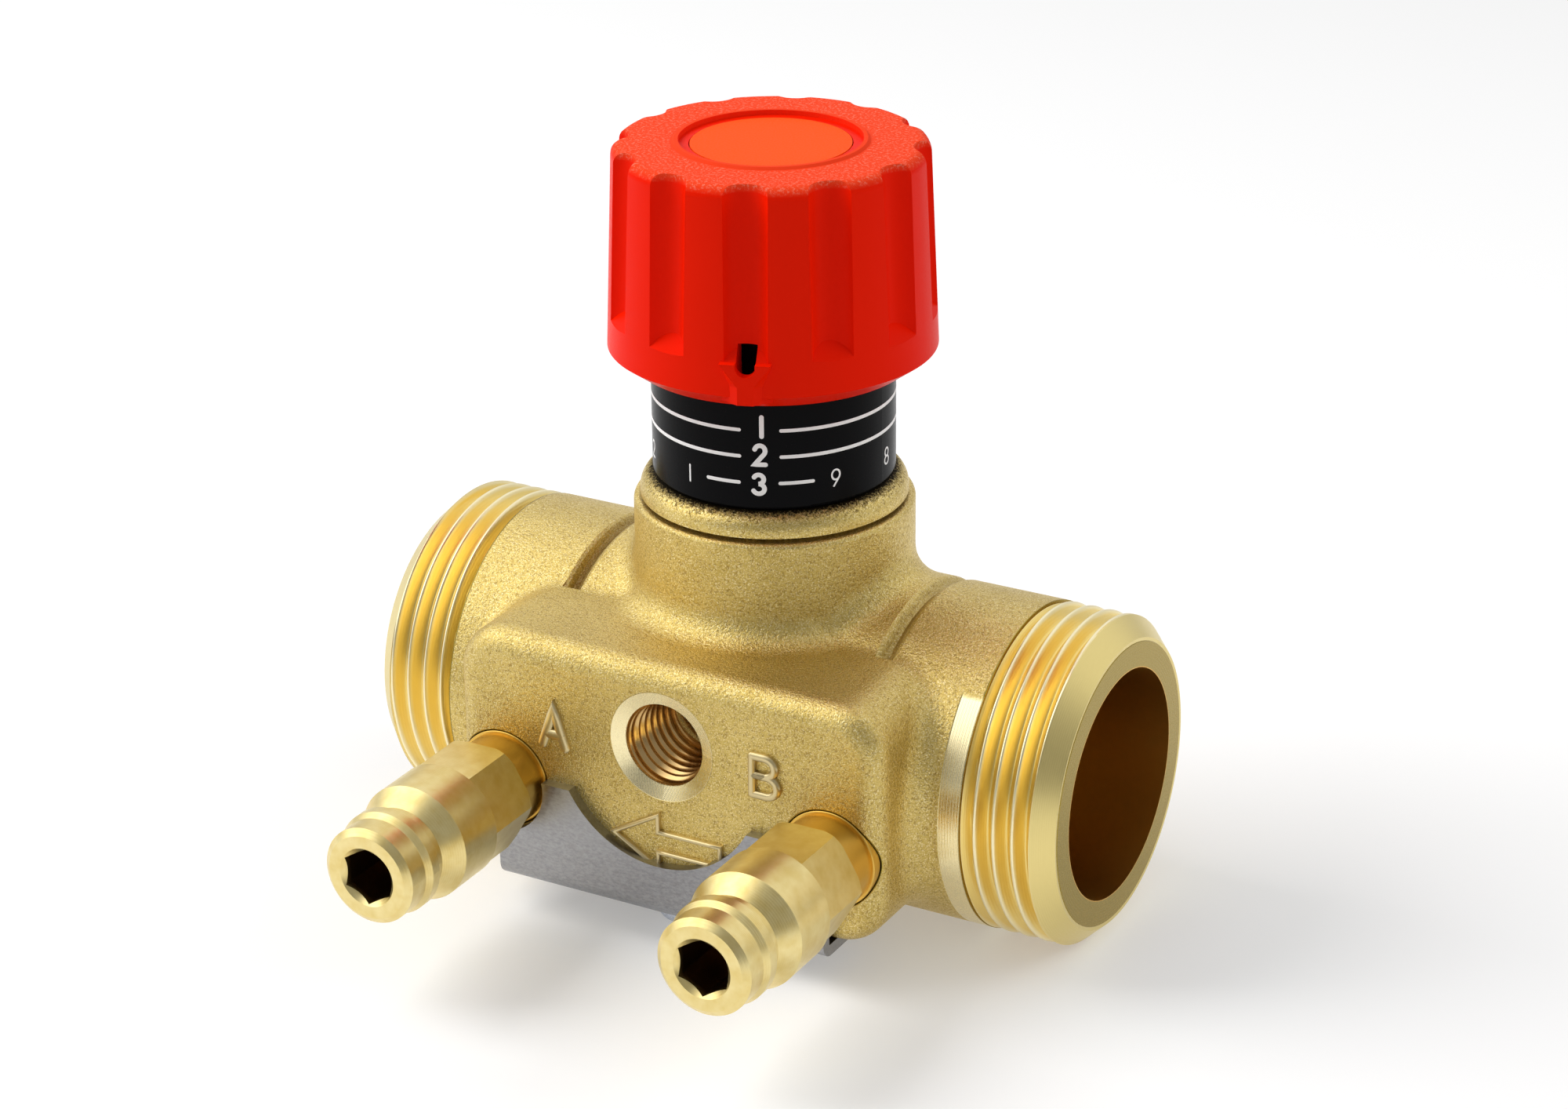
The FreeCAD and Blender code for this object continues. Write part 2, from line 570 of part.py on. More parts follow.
def throttle_cone():
    """Cone with throttling nose, groove for the soft seal and socket for the spindle foot."""
    floor = "spindle_base - foot_play"
    groove = f"{FOOT_BORE} + clip_groove"
    flange = f"{SEAL_HIGH} + cone_flange"
    turned("throttle_cone", [
        ("0", f"{SEAL_LOW} - nose_height"), ("nose_tip / 2", f"{SEAL_LOW} - nose_height"),
        ("nose_diameter / 2", SEAL_LOW), ("seal_bore / 2", SEAL_LOW), ("seal_bore / 2", SEAL_HIGH),
        ("seal_diameter / 2", SEAL_HIGH), ("seal_diameter / 2", flange), ("cone_boss / 2", flange),
        ("cone_boss / 2", "cone_top"), (FOOT_BORE, "cone_top"), (FOOT_BORE, CLIP_HIGH), (groove, CLIP_HIGH),
        (groove, CLIP_LOW), (FOOT_BORE, CLIP_LOW), (FOOT_BORE, floor), ("0", floor),
    ])
    washer("cone_seal", "seal_bore / 2 + ring_play", "seal_diameter / 2", SEAL_LOW, SEAL_HIGH)
    washer("cone_clip", f"{groove} - clip_width", f"{groove} - ring_play", CLIP_LOW, CLIP_HIGH)


# Spindle and hand knob
def spindle():
    """Spindle with foot collar, clip groove and a threaded bore for the stop screw."""
    clip_top = "knob_well_floor + clip_thickness"
    end = f"{clip_top} + spindle_end"
    turned("spindle", [
        ("0", "spindle_base"), ("spindle_foot / 2", "spindle_base"),
        ("spindle_foot / 2", "spindle_base + spindle_foot_height"),
        ("spindle_diameter / 2", "spindle_base + spindle_foot_height"),
        ("spindle_diameter / 2", "knob_well_floor"), ("spindle_waist / 2", "knob_well_floor"),
        ("spindle_waist / 2", clip_top), ("spindle_diameter / 2", clip_top), ("spindle_diameter / 2", end),
        ("stop_bore / 2", end), ("stop_bore / 2", "stop_bore_floor"), ("0", "stop_bore_floor"),
    ])
    washer("knob_clip", "spindle_waist / 2 + ring_play", "knob_clip / 2", "knob_well_floor", clip_top)


def stop_screw():
    """Grub screw in the spindle that limits the opening."""
    body = new_body("stop_screw")
    shank = new_sketch(body, "XY_Plane", "stop_screw_low")
    circle(shank, ("0", "0"), "stop_bore / 2 - thread_play")
    feature(body, "Pad", shank, Length="stop_screw_length")
    socket = new_sketch(body, "XY_Plane", "stop_screw_low + stop_screw_length")
    hexagon(socket, "stop_socket")
    feature(body, "Pocket", socket, Length="stop_socket_depth")
    return body


def knob():
    """Fluted hollow knob with hub, cap recess, pointer and window."""
    rim = "knob_bottom + knob_rim_height"
    body = turned("knob", [
        ("knob_cavity / 2", "knob_bottom"), ("knob_edge / 2", "knob_bottom"), ("knob_rim / 2", rim),
        ("knob_crown / 2", "knob_top"), ("knob_lip_outer / 2", "knob_top"),
        ("knob_lip_outer / 2 - knob_lip", "knob_top + knob_lip"),
        ("knob_lip_inner / 2", "knob_top + knob_lip"),
        ("knob_lip_inner / 2", "knob_shelf"), ("cap_diameter / 2 + cap_gap", "knob_shelf"),
        ("cap_diameter / 2 + cap_gap", "knob_floor"), ("knob_well / 2", "knob_floor"),
        ("knob_well / 2", "knob_well_floor"), ("spindle_diameter / 2 + knob_press", "knob_well_floor"),
        ("spindle_diameter / 2 + knob_press", "knob_hub_bottom"), ("knob_hub / 2", "knob_hub_bottom"),
        ("knob_hub / 2", "knob_ceiling"), ("knob_cavity / 2", "knob_ceiling"),
    ], turn="knob_angle")
    crown = value_of("knob_crown")
    round_edges(body, "knob_round",
                lambda p, e: near(e.BoundBox.XLength, crown) and near(e.BoundBox.ZLength, 0))
    # Flutes end below on a plane that slopes down towards the outside
    ramp = body.newObject("PartDesign::Plane", "flute_ramp")
    ramp.AttachmentSupport = (origin_part(body, "XY_Plane"), [""])
    ramp.MapMode = "FlatFace"
    lean = FreeCAD.Rotation(FreeCAD.Vector(1, 0, 0), 45)
    ramp.AttachmentOffset = FreeCAD.Placement(FreeCAD.Vector(), lean)
    ramp.setExpression("AttachmentOffset.Base.y", linked("-knob_rim / 2"))
    ramp.setExpression("AttachmentOffset.Base.z", linked("flute_bottom"))
    doc.recompute()
    flute = new_sketch(body, "XY_Plane", "knob_top")
    circle(flute, ("0", "-(knob_crown / 2 - flute_depth + flute_radius)"), "flute_radius")
    cut = feature(body, "Pocket", flute, Type="UpToFace", UpToFace=(ramp, [""]), UseCustomVector=True,
                  Direction=FreeCAD.Vector(0, 0, -1))
    cut.setExpression("Direction.y", linked("-(knob_rim - knob_crown) / (2 * (knob_top - flute_bottom))"))
    doc.recompute()
    repeat(body, "PolarPattern", cut, Axis=(origin_part(body, "Z_Axis"), [""]), Angle=360.0,
           Occurrences="flute_count")
    # Pointer that stands out of the skirt with sloping sides
    wide = "pointer_width / 2"
    tip = "pointer_tip / 2"
    front = "knob_rim / 2 + pointer_stand"
    foot = new_sketch(body, "XZ_Plane", "knob_rim / 2 - pointer_sink")
    face = new_sketch(body, "XZ_Plane", front)
    for outline, narrow in ((foot, wide), (face, tip)):
        polygon(outline, [(f"-{wide}", "pointer_top"), (f"-{narrow}", "pointer_waist"),
                          (f"-{narrow}", "pointer_low"), (narrow, "pointer_low"),
                          (narrow, "pointer_waist"), (wide, "pointer_top")])
    feature(body, "AdditiveLoft", foot, Sections=[face], Ruled=True)
    # Window in the pointer, round below
    through = f"{front} - knob_cavity / 2 + knob_lip"
    side = "slot_width / 2"
    window = new_sketch(body, "XZ_Plane", front)
    polygon(window, [(f"-{side}", f"slot_low + {side}"), (side, f"slot_low + {side}"),
                     (side, "slot_low + slot_height"), (f"-{side}", "slot_low + slot_height")])
    feature(body, "Pocket", window, Length=through)
    sill = new_sketch(body, "XZ_Plane", front)
    circle(sill, ("0", f"slot_low + {side}"), side)
    feature(body, "Pocket", sill, Length=through)
    undercut = new_sketch(body, "XZ_Plane", f"{front} - slot_wall")
    polygon(undercut, [(f"-{side}", "slot_low - slot_drop"), (side, "slot_low - slot_drop"),
                       (side, "slot_low + slot_height"), (f"-{side}", "slot_low + slot_height")])
    feature(body, "Pocket", undercut, Length=f"{through} - slot_wall")
    return body


def knob_cap():
    """Disc that closes the knob, with a plug in the well."""
    plug = "knob_well / 2 - cap_plug_play"
    turned("knob_cap", [
        ("0", "knob_floor - cap_plug_depth"), (plug, "knob_floor - cap_plug_depth"), (plug, "knob_floor"),
        ("cap_diameter / 2", "knob_floor"), ("cap_diameter / 2", "cap_top"), ("0", "cap_top"),
    ], turn="knob_angle")


# Measuring nipples
def measuring_nipple(letter, aside):
    """Plug-in measuring nipple with catch collar, spanner hexagon, socket and sealing ring."""
    place = {"aside": aside, "ahead": "-(block_front + nipple_reach)", "rise": "-nipple_drop"}
    body = new_body(f"measuring_nipple_{letter}", **place)
    sink = "(nipple_socket_sink - nipple_socket) / 2"
    neck_end = "nipple_reach + nipple_neck_depth"
    ring_at = "nipple_reach + nipple_ring_depth"
    ring_radius = "nipple_seal_bore / 2 - running_play - nipple_ring_section / 2"
    waist = f"{ring_radius} - nipple_ring_section / 2 - ring_play"
    low, high = slot(ring_at, "nipple_ring_section")
    turn_solid(body, "Revolution", "XY_Plane", [
        ("0", sink), ("nipple_socket / 2", sink), ("nipple_socket_sink / 2", "0"), ("nipple_face / 2", "0"),
        ("nipple_head / 2", "nipple_chamfer"), ("nipple_head / 2", "nipple_ramp"),
        ("nipple_collar / 2", "nipple_collar_start"), ("nipple_collar / 2", "nipple_collar_end"),
        ("nipple_groove / 2", "nipple_groove_start"), ("nipple_groove / 2", "nipple_groove_end"),
        ("nipple_barrel / 2", "nipple_cone_end"),
        ("nipple_barrel / 2", "nipple_barrel_end - nipple_rear_chamfer"),
        ("nipple_barrel / 2 - nipple_rear_chamfer", "nipple_barrel_end"),
        ("nipple_neck / 2", "nipple_barrel_end"), ("nipple_neck / 2", low), (waist, low), (waist, high),
        ("nipple_neck / 2", high), ("nipple_neck / 2", neck_end), ("nipple_thread / 2", neck_end),
        ("nipple_thread / 2", "nipple_reach + nipple_shank_depth"),
        ("0", "nipple_reach + nipple_shank_depth"),
    ])
    flats = new_sketch(body, "XZ_Plane", "nipple_hex_length - nipple_barrel_end")
    circle(flats, ("0", "0"), "nipple_barrel")
    hexagon(flats, "nipple_hex", flat_up=True)
    feature(body, "Pocket", flats, Length="nipple_hex_length")
    socket = new_sketch(body, "XZ_Plane")
    hexagon(socket, "nipple_socket")
    feature(body, "Pocket", socket, Length="nipple_socket_depth")
    way = new_sketch(body, "XZ_Plane")
    circle(way, ("0", "0"), "nipple_bore / 2")
    feature(body, "Pocket", way, Length="nipple_reach + nipple_shank_depth")
    ring(f"nipple_{letter}_o_ring", ring_radius, ring_at, "nipple_ring_section", "XY_Plane", **place)
    return body


# Retaining plate
def retaining_plate():
    """Folded sheet that keeps the nipples in, with an arc cut-out and notches round the necks."""
    body = new_body("retaining_plate")
    face = "block_front"
    outer = "block_front + plate_thickness"
    under = "block_bottom + plate_thickness"
    blend = "(hub_diameter / 2 + block_blend) ^ 2 - (block_bottom + block_blend) ^ 2"
    end = f"-(sqrt({blend}) + plate_clear)"
    profile = new_sketch(body, "YZ_Plane")
    polygon(profile, [(f"-({outer})", "-plate_rise"), (f"-({outer})", f"-({under})"),
                      (end, f"-({under})"), (end, "-block_bottom"),
                      (f"-{face}", "-block_bottom"), (f"-{face}", "-plate_rise")])
    feature(body, "Pad", profile, Length="plate_width", SideType="Symmetric")
    bend = (-value_of(outer), -value_of(under))
    round_edges(body, "plate_bend", lambda p, e: near(p.y, bend[0]) and near(p.z, bend[1]))
    arc = new_sketch(body, "XZ_Plane", outer)
    circle(arc, ("0", "plate_arc_radius - plate_arc_low"), "plate_arc_radius")
    feature(body, "Pocket", arc, Length="plate_thickness")
    notches = new_sketch(body, "XZ_Plane", outer)
    circle(notches, ("nipple_spacing / 2", "-nipple_drop"), "plate_notch / 2")
    circle(notches, ("-nipple_spacing / 2", "-nipple_drop"), "plate_notch / 2")
    feature(body, "Pocket", notches, Length="plate_thickness")
    hole = new_sketch(body, "XY_Plane", "-block_bottom")
    circle(hole, ("0", f"screw_inset - {face}"), "screw_thread / 2 + 2 * thread_play")
    feature(body, "Pocket", hole, Length="plate_thickness")
    return body


def plate_screw():
    """Pan head screw that holds the retaining plate under the block."""
    seat = "-(block_bottom + plate_thickness)"
    body = turned("plate_screw", [
        ("0", f"{seat} - screw_head_height"), ("screw_head / 2", f"{seat} - screw_head_height"),
        ("screw_head / 2", seat), ("screw_thread / 2", seat),
        ("screw_thread / 2", "screw_length - block_bottom"), ("0", "screw_length - block_bottom"),
    ], ahead="screw_inset - block_front")
    low = value_of(f"{seat} - screw_head_height")
    round_edges(body, "screw_head_round", lambda p, e: near(p.z, low) and near(e.BoundBox.ZLength, 0))
    return body


def build():
    """Make every piece of the valve."""
    valve_body()
    bonnet()
    scale_drum()
    sealing_rings()
    throttle_cone()
    spindle()
    stop_screw()
    knob()
    knob_cap()
    measuring_nipple("a", "-nipple_spacing / 2")
    measuring_nipple("b", "nipple_spacing / 2")
    retaining_plate()
    plate_screw()


def export():
    """Check every object and write each piece to its own file."""
    doc.recompute()
    failed = [o.Name for o in doc.Objects if "Invalid" in o.State or "Error" in o.State]
    if failed:
        raise RuntimeError(f"failed objects: {failed}")
    os.makedirs("parts", exist_ok=True)
    for body in doc.findObjects("PartDesign::Body"):
        shape = body.Shape
        if shape.isNull() or not shape.isValid() or len(shape.Solids) != 1:
            raise RuntimeError(f"bad shape: {body.Label} with {len(shape.Solids)} solids")
        shape.exportStep(f"parts/{body.Label}.step")
        print(body.Label, round(shape.Volume, 2), len(shape.Faces))


build()
export()
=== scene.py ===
"""Manual balancing valve: threads, cast marks, printed scale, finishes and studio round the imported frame."""

import math

import bmesh
import bpy
import numpy as np
from bpy.props import FloatProperty, FloatVectorProperty, PointerProperty
from mathutils import Matrix, Vector


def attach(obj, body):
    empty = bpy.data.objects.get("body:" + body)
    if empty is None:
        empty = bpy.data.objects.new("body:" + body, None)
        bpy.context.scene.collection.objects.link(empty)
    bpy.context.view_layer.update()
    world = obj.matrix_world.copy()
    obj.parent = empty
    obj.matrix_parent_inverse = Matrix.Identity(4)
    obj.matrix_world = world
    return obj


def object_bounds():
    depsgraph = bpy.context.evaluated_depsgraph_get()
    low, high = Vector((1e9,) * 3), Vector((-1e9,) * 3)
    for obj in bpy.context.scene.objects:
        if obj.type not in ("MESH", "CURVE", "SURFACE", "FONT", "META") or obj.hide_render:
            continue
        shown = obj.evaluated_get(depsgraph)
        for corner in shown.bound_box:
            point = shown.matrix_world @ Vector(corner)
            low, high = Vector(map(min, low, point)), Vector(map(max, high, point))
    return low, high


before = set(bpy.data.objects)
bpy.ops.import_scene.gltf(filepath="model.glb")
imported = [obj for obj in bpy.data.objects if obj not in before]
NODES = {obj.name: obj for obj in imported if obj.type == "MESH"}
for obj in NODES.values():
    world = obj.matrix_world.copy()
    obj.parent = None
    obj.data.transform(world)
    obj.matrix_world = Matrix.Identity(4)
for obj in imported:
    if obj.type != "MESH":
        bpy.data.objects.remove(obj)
CAD_BOX = [list(corner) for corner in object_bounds()]

bl_info = {
    "name": "Balancing valve",
    "version": (1, 0, 0),
    "blender": (4, 5, 0),
    "location": "View3D > Sidebar > Valve",
    "description": "Dresses a manual balancing valve with its threads, marks, scale and finishes",
    "category": "Add Mesh",
}

MM = 0.001
STEM_X = -0.038
TURN = 2 * math.pi
WELD = 1e-7
TINY = 1e-9
NOISE_RANGE = (0.3, 0.7)
GRAIN_RANGE = (0.55, 0.95)

# Places in millimetres from the stem and the pipe axis
THREAD_FOOT = 28.7
BLOCK_FACE = 22.7
PORT_AXIS = (0.0, 5.0)
NIPPLE_AXIS = (18.2, -2.5)
CREASE_REACH = 17.6

# Edges of the finishes in the same millimetres, from no effect to full effect
BORE_RADIUS = (11.66, 11.6)
BORE_START = (20.0, 20.5)
END_START = (28.65, 28.75)
FRONT_DEPTH = (-12.0, -12.5)
PORT_RING = (5.72, 5.67)
NIPPLE_SEAT = (5.17, 5.12)
BAND_START = (26.5, 26.6)
BAND_END = (28.8, 28.7)
BAND_TOP = (1.0, 0.0)
# Painted shade in the creases beside the hubs, stronger on the left than on the right
CREASE_WIDTH = (1.15, 0.2)
CREASE_FRONT = (-10.6, -9.4)
CREASE_DEPTH = (13.6, 14.0)
CREASE_LOW = (-6.5, -4.5)
CREASE_SIDES = (-1.0, 1.0)
# Painted shade on the sides and round the feet of the raised marks
MARK_FOOT = (-22.71, -22.74)
MARK_TOP = (-23.14, -22.94)
# Dark band round the foot of the drum: partly dust, partly painted shade where the drum meets the bonnet
DUST_AND_SHADE_EDGE = (14.1, 13.2)
DUST_AND_SHADE_LEVEL = (20.0, 20.5)
# Painted highlight on the thread crests
CREST_HIGHLIGHT_RADIUS = (15.95, 16.32)
LEAD_START = (36.0, 36.12)
# Painted reflection: amber tone on the nipples' necks between the hexagon and the block
NECK_FRONT = (-26.5, -26.2)
NECK_REAR = (-20.0, -21.0)
# Painted shade deep in the nipples' sockets, darker further in
SOCKET_RADIUS = (3.02, 2.92)
SOCKET_DEPTH = (-46.1, -45.4)
RING_LEVEL = (58.6, 59.25)
RING_INNER = (8.82, 8.9)
SPECK_INNER = (9.5, 9.8)


# ---------------------------------------------------------------- surfaces

def grid_faces(rows, cols, wrap_rows=False, wrap_cols=False):
    """Quads between neighbouring points of a grid. A wrapped direction joins its last line to its first."""
    i, j = np.meshgrid(np.arange(rows - (not wrap_rows)), np.arange(cols - (not wrap_cols)), indexing="ij")
    below, beside = (i + 1) % rows, (j + 1) % cols
    quads = np.stack([i * cols + j, below * cols + j, below * cols + beside, i * cols + beside], -1)
    return quads.reshape(-1, 4)


def outward(points, faces):
    """The faces of a closed shell, turned round where the volume that they enclose comes out negative."""
    corner = points[faces]
    first = np.einsum("ij,ij->i", corner[:, 0], np.cross(corner[:, 1], corner[:, 2]))
    second = np.einsum("ij,ij->i", corner[:, 0], np.cross(corner[:, 2], corner[:, 3]))
    return faces if (first + second).sum() > 0 else faces[:, ::-1]


def shell(points, wrap_rows):
    """(points, faces) of one closed shell from a grid of points, rows by columns by xyz, in millimetres from
    the stem. Columns always wrap."""
    rows, cols = points.shape[:2]
    flat = points.reshape(-1, 3)
    return flat, outward(flat - flat.mean(0), grid_faces(rows, cols, wrap_rows, True))


def add_piece(name, shells, material, body, sharp):
    """Joins closed shells into one mesh object in metres at the origin, riding on a body of the frame. Edges
    over sharp degrees aren't smoothed."""
    starts = np.cumsum([0] + [len(points) for points, _ in shells])
    points = np.concatenate([points for points, _ in shells]) * MM
    points[:, 0] += STEM_X
    faces = np.concatenate([faces + start for (_, faces), start in zip(shells, starts)])
    mesh = bpy.data.meshes.new(name)
    mesh.vertices.add(len(points))
    mesh.vertices.foreach_set("co", points.astype(np.float32).ravel())
    mesh.loops.add(faces.size)
    mesh.loops.foreach_set("vertex_index", faces.astype(np.int32).ravel())
    mesh.polygons.add(len(faces))
    mesh.polygons.foreach_set("loop_start", np.arange(0, faces.size, 4, dtype=np.int32))
    mesh.polygons.foreach_set("use_smooth", np.ones(len(faces), bool))
    mesh.update(calc_edges=True)
    work = bmesh.new()
    work.from_mesh(mesh)
    bmesh.ops.remove_doubles(work, verts=work.verts, dist=WELD)
    work.to_mesh(mesh)
    work.free()
    if mesh.validate():
        raise RuntimeError(f"{name} has faulty faces")
    mesh.set_sharp_from_angle(angle=math.radians(sharp))
    mesh.materials.append(material)
    piece = bpy.data.objects.new(name, mesh)
    bpy.context.scene.collection.objects.link(piece)
    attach(piece, body)


def triangle_wave(phase):
    """0 at whole numbers, rising evenly to 1 at the halves between them."""
    return 1 - np.abs(2 * (phase % 1.0) - 1)


def thread_height(phase, depth, rounding=0.03, cut=1.13, hollow=1.6):
    """Height of a thread over its root: a triangle wave raised to the power hollow, so that the root is wide,
    cut flat at the narrow crest, and averaged over a short span of the phase so that its corners are round."""
    span = np.linspace(-rounding, rounding, 7)
    wave = triangle_wave(phase[..., None] + span)
    return depth * np.clip((cut * wave) ** hollow, 0, 1).mean(-1)


def arc(centre, radii, start, end, count=14):
    """Points of an elliptic arc from start to end degrees."""
    angle = np.radians(np.linspace(start, end, count))
    return np.stack([centre[0] + radii[0] * np.cos(angle), centre[1] + radii[1] * np.sin(angle)], -1)


def line(*corners, count=6):
    """Points spread evenly over each run between corners."""
    runs = [np.linspace(a, b, count, endpoint=False) for a, b in zip(corners, corners[1:])]
    return np.concatenate(runs + [np.array(corners[-1:], float)])


def unit(vectors):
    """Vectors brought to length one."""
    return vectors / np.maximum(np.linalg.norm(vectors, axis=1, keepdims=True), TINY)


def stroke(path, width, height, sink, place, power, closed=False):
    """Raised stroke along a path: a rounded ridge profile, width across and height over the surface, set on
    the path's normals, with half-round ends. A larger power gives a squarer ridge. place puts two coordinates
    and the height onto the carrying surface."""
    end_rows, ridge_points, least_miter = 5, 13, 0.5
    if closed:
        ahead, behind = np.roll(path, -1, 0), np.roll(path, 1, 0)
    else:
        ahead = np.concatenate([path[1:], path[-1:]])
        behind = np.concatenate([path[:1], path[:-1]])
    first, second = unit(ahead - path), unit(path - behind)
    tangent = unit(first + second)
    along = np.maximum((tangent * first).sum(1), (tangent * second).sum(1))
    miter = 1 / np.maximum(along, least_miter)
    scale = np.ones(len(path))
    if not closed:
        ends = np.radians(np.linspace(0, 90, end_rows + 1))[1:]
        reach = np.sin(ends)[:, None] * width / 2
        path = np.concatenate([(path[0] - tangent[0] * reach)[::-1], path, path[-1] + tangent[-1] * reach])
        taper = np.cos(ends)
        tangent = np.pad(tangent, ((end_rows, end_rows), (0, 0)), mode="edge")
        scale = np.concatenate([taper[::-1], scale, taper])
        miter = np.pad(miter, end_rows, constant_values=1.0)
    normal = np.stack([-tangent[:, 1], tangent[:, 0]], -1)
    around = np.radians(np.linspace(0, 180, ridge_points))
    across = np.concatenate([np.cos(around), [-1, 1]]) * width / 2
    rise = np.concatenate([height * np.sin(around) ** (2 / power), [-sink, -sink]])
    side = (scale * miter)[:, None] * across
    flat = path[:, None, :] + normal[:, None, :] * side[..., None]
    lift = np.where(rise > 0, rise * np.sqrt(scale)[:, None], rise)
    return shell(place(flat[..., 0], flat[..., 1], lift), wrap_rows=closed)


# ---------------------------------------------------------------- finishes

class Nodes:
    """Short calls for the nodes and links of one tree."""

    def __init__(self, tree):
        self.tree = tree

    def add(self, kind, inputs=None, **settings):
        node = self.tree.nodes.new(kind)
        for key, value in settings.items():
            setattr(node, key, value)
        for key, value in (inputs or {}).items():
            self.feed(node.inputs[key], value)
        return node

    def feed(self, socket, value):
        if isinstance(value, bpy.types.NodeSocket):
            self.tree.links.new(value, socket)
        elif socket.type == "RGBA":
            socket.default_value = (*value, 1)
        else:
            socket.default_value = value

    def math(self, operation, first, second=0.0):
        return self.add("ShaderNodeMath", {0: first, 1: second}, operation=operation).outputs[0]

    def overlap(self, first, *others):
        """Product of masks: 1 where all of them are 1."""
        for other in others:
            first = self.math("MULTIPLY", first, other)
        return first

    def spread(self, value, low, high, to_low=0.0, to_high=1.0):
        """Maps low to high onto to_low to to_high, held at the ends."""
        return self.add("ShaderNodeMapRange", {"Value": value, "From Min": low, "From Max": high,
                                               "To Min": to_low, "To Max": to_high}).outputs[0]

    def toward(self, way, aim):
        """Cosine between a direction and an aim."""
        return self.add("ShaderNodeVectorMath", {0: way, 1: Vector(aim).normalized()},
                        operation="DOT_PRODUCT").outputs["Value"]

    def seen(self):
        """1 for a ray from the camera, a mirror or a glass face."""
        path = self.add("ShaderNodeLightPath").outputs
        mirrored = self.math("MAXIMUM", path["Is Glossy Ray"], path["Is Transmission Ray"])
        return self.math("MAXIMUM", path["Is Camera Ray"], mirrored)


class Finish(Nodes):
    """Node tree of one finish on Object coordinates, in metres."""

    def __init__(self, name, metallic=0.0, roughness=0.4, **sockets):
        self.material = bpy.data.materials.new(name)
        self.material.use_nodes = True
        super().__init__(self.material.node_tree)
        self.shader = self.tree.nodes["Principled BSDF"]
        self.set("Metallic", metallic)
        self.set("Roughness", roughness)
        for socket, value in sockets.items():
            self.set(socket.replace("_", " "), value)
        self.place = self.add("ShaderNodeTexCoord").outputs["Object"]

    def set(self, socket, value):
        self.feed(self.shader.inputs[socket], value)

    def noise(self, size, detail=2.0, rough=0.55, stretch=(1, 1, 1), shift=(0, 0, 0)):
        """Noise whose grains are about size millimetres, stretched by the given factors."""
        scale = [1 / (size * MM * s) for s in stretch]
        placed = self.add("ShaderNodeMapping", {"Vector": self.place, "Scale": scale, "Location": shift})
        return self.add("ShaderNodeTexNoise", {"Vector": placed.outputs[0], "Scale": 1.0, "Detail": detail,
                                               "Roughness": rough}).outputs["Fac"]

    def vary(self, noise, low, high):
        """Number from low to high that follows a noise over its usual range."""
        return self.spread(noise, *NOISE_RANGE, low, high)

    def blend(self, factor, first, second):
        """Colour that goes from first to second with the factor."""
        node = self.add("ShaderNodeMix", {"Factor": factor}, data_type="RGBA")
        self.feed(node.inputs[6], first)
        self.feed(node.inputs[7], second)
        return node.outputs[2]

    def weigh(self, factor, first, second):
        """Number that goes from first to second with the factor."""
        node = self.add("ShaderNodeMix", {"Factor": factor, 2: first, 3: second}, data_type="FLOAT")
        return node.outputs[0]

    def axes(self):
        """Object coordinates counted from the stem, in millimetres."""
        moved = self.add("ShaderNodeMapping", {"Vector": self.place, "Location": (-STEM_X / MM, 0, 0),
                                               "Scale": (1 / MM,) * 3})
        return self.add("ShaderNodeSeparateXYZ", {0: moved.outputs[0]}).outputs

    def far(self, first, second, at=(0.0, 0.0)):
        """Distance of two coordinates from a centre."""
        one = self.math("SUBTRACT", first, at[0])
        two = self.math("SUBTRACT", second, at[1])
        squares = self.math("ADD", self.math("MULTIPLY", one, one), self.math("MULTIPLY", two, two))
        return self.math("SQRT", squares)

    def rings(self, along, pitch):
        """Turning lines: a sine along a coordinate in millimetres."""
        return self.math("SINE", self.math("MULTIPLY", along, TURN / pitch))

    def relief(self, height, depth):
        """Bump of a depth in millimetres."""
        self.set("Normal", self.add("ShaderNodeBump", {"Height": height, "Strength": 1.0,
                                                       "Distance": depth * MM}).outputs[0])


def grains(f, tones, size):
    """Blasted brass: soft patches of two tones under a fine grain with dull pits, and bright grain tips
    painted in as highlights. Gives the colour and the height of the grain."""
    patches = f.noise(6.0, detail=3.0)
    grain = f.noise(size, detail=2.5, rough=0.6)
    fine = f.noise(size * 0.45, detail=1.0, shift=(2.0, 5.0, 1.0))
    pits = f.spread(grain, 0.5, 0.34, 0.0, 0.6)
    # Painted highlights: pale flecks on the grain tips stand in for the sparkle of the blasted surface
    painted_glints = f.spread(fine, 0.51, 0.7, 0.0, 0.9)
    tone = f.blend(f.vary(patches, 0.0, 1.0), tones.cast_dark, tones.cast_light)
    tone = f.blend(pits, tone, tones.cast_pit)
    tone = f.blend(painted_glints, tone, tones.glint)
    return tone, f.math("ADD", grain, f.math("MULTIPLY", fine, 0.5))


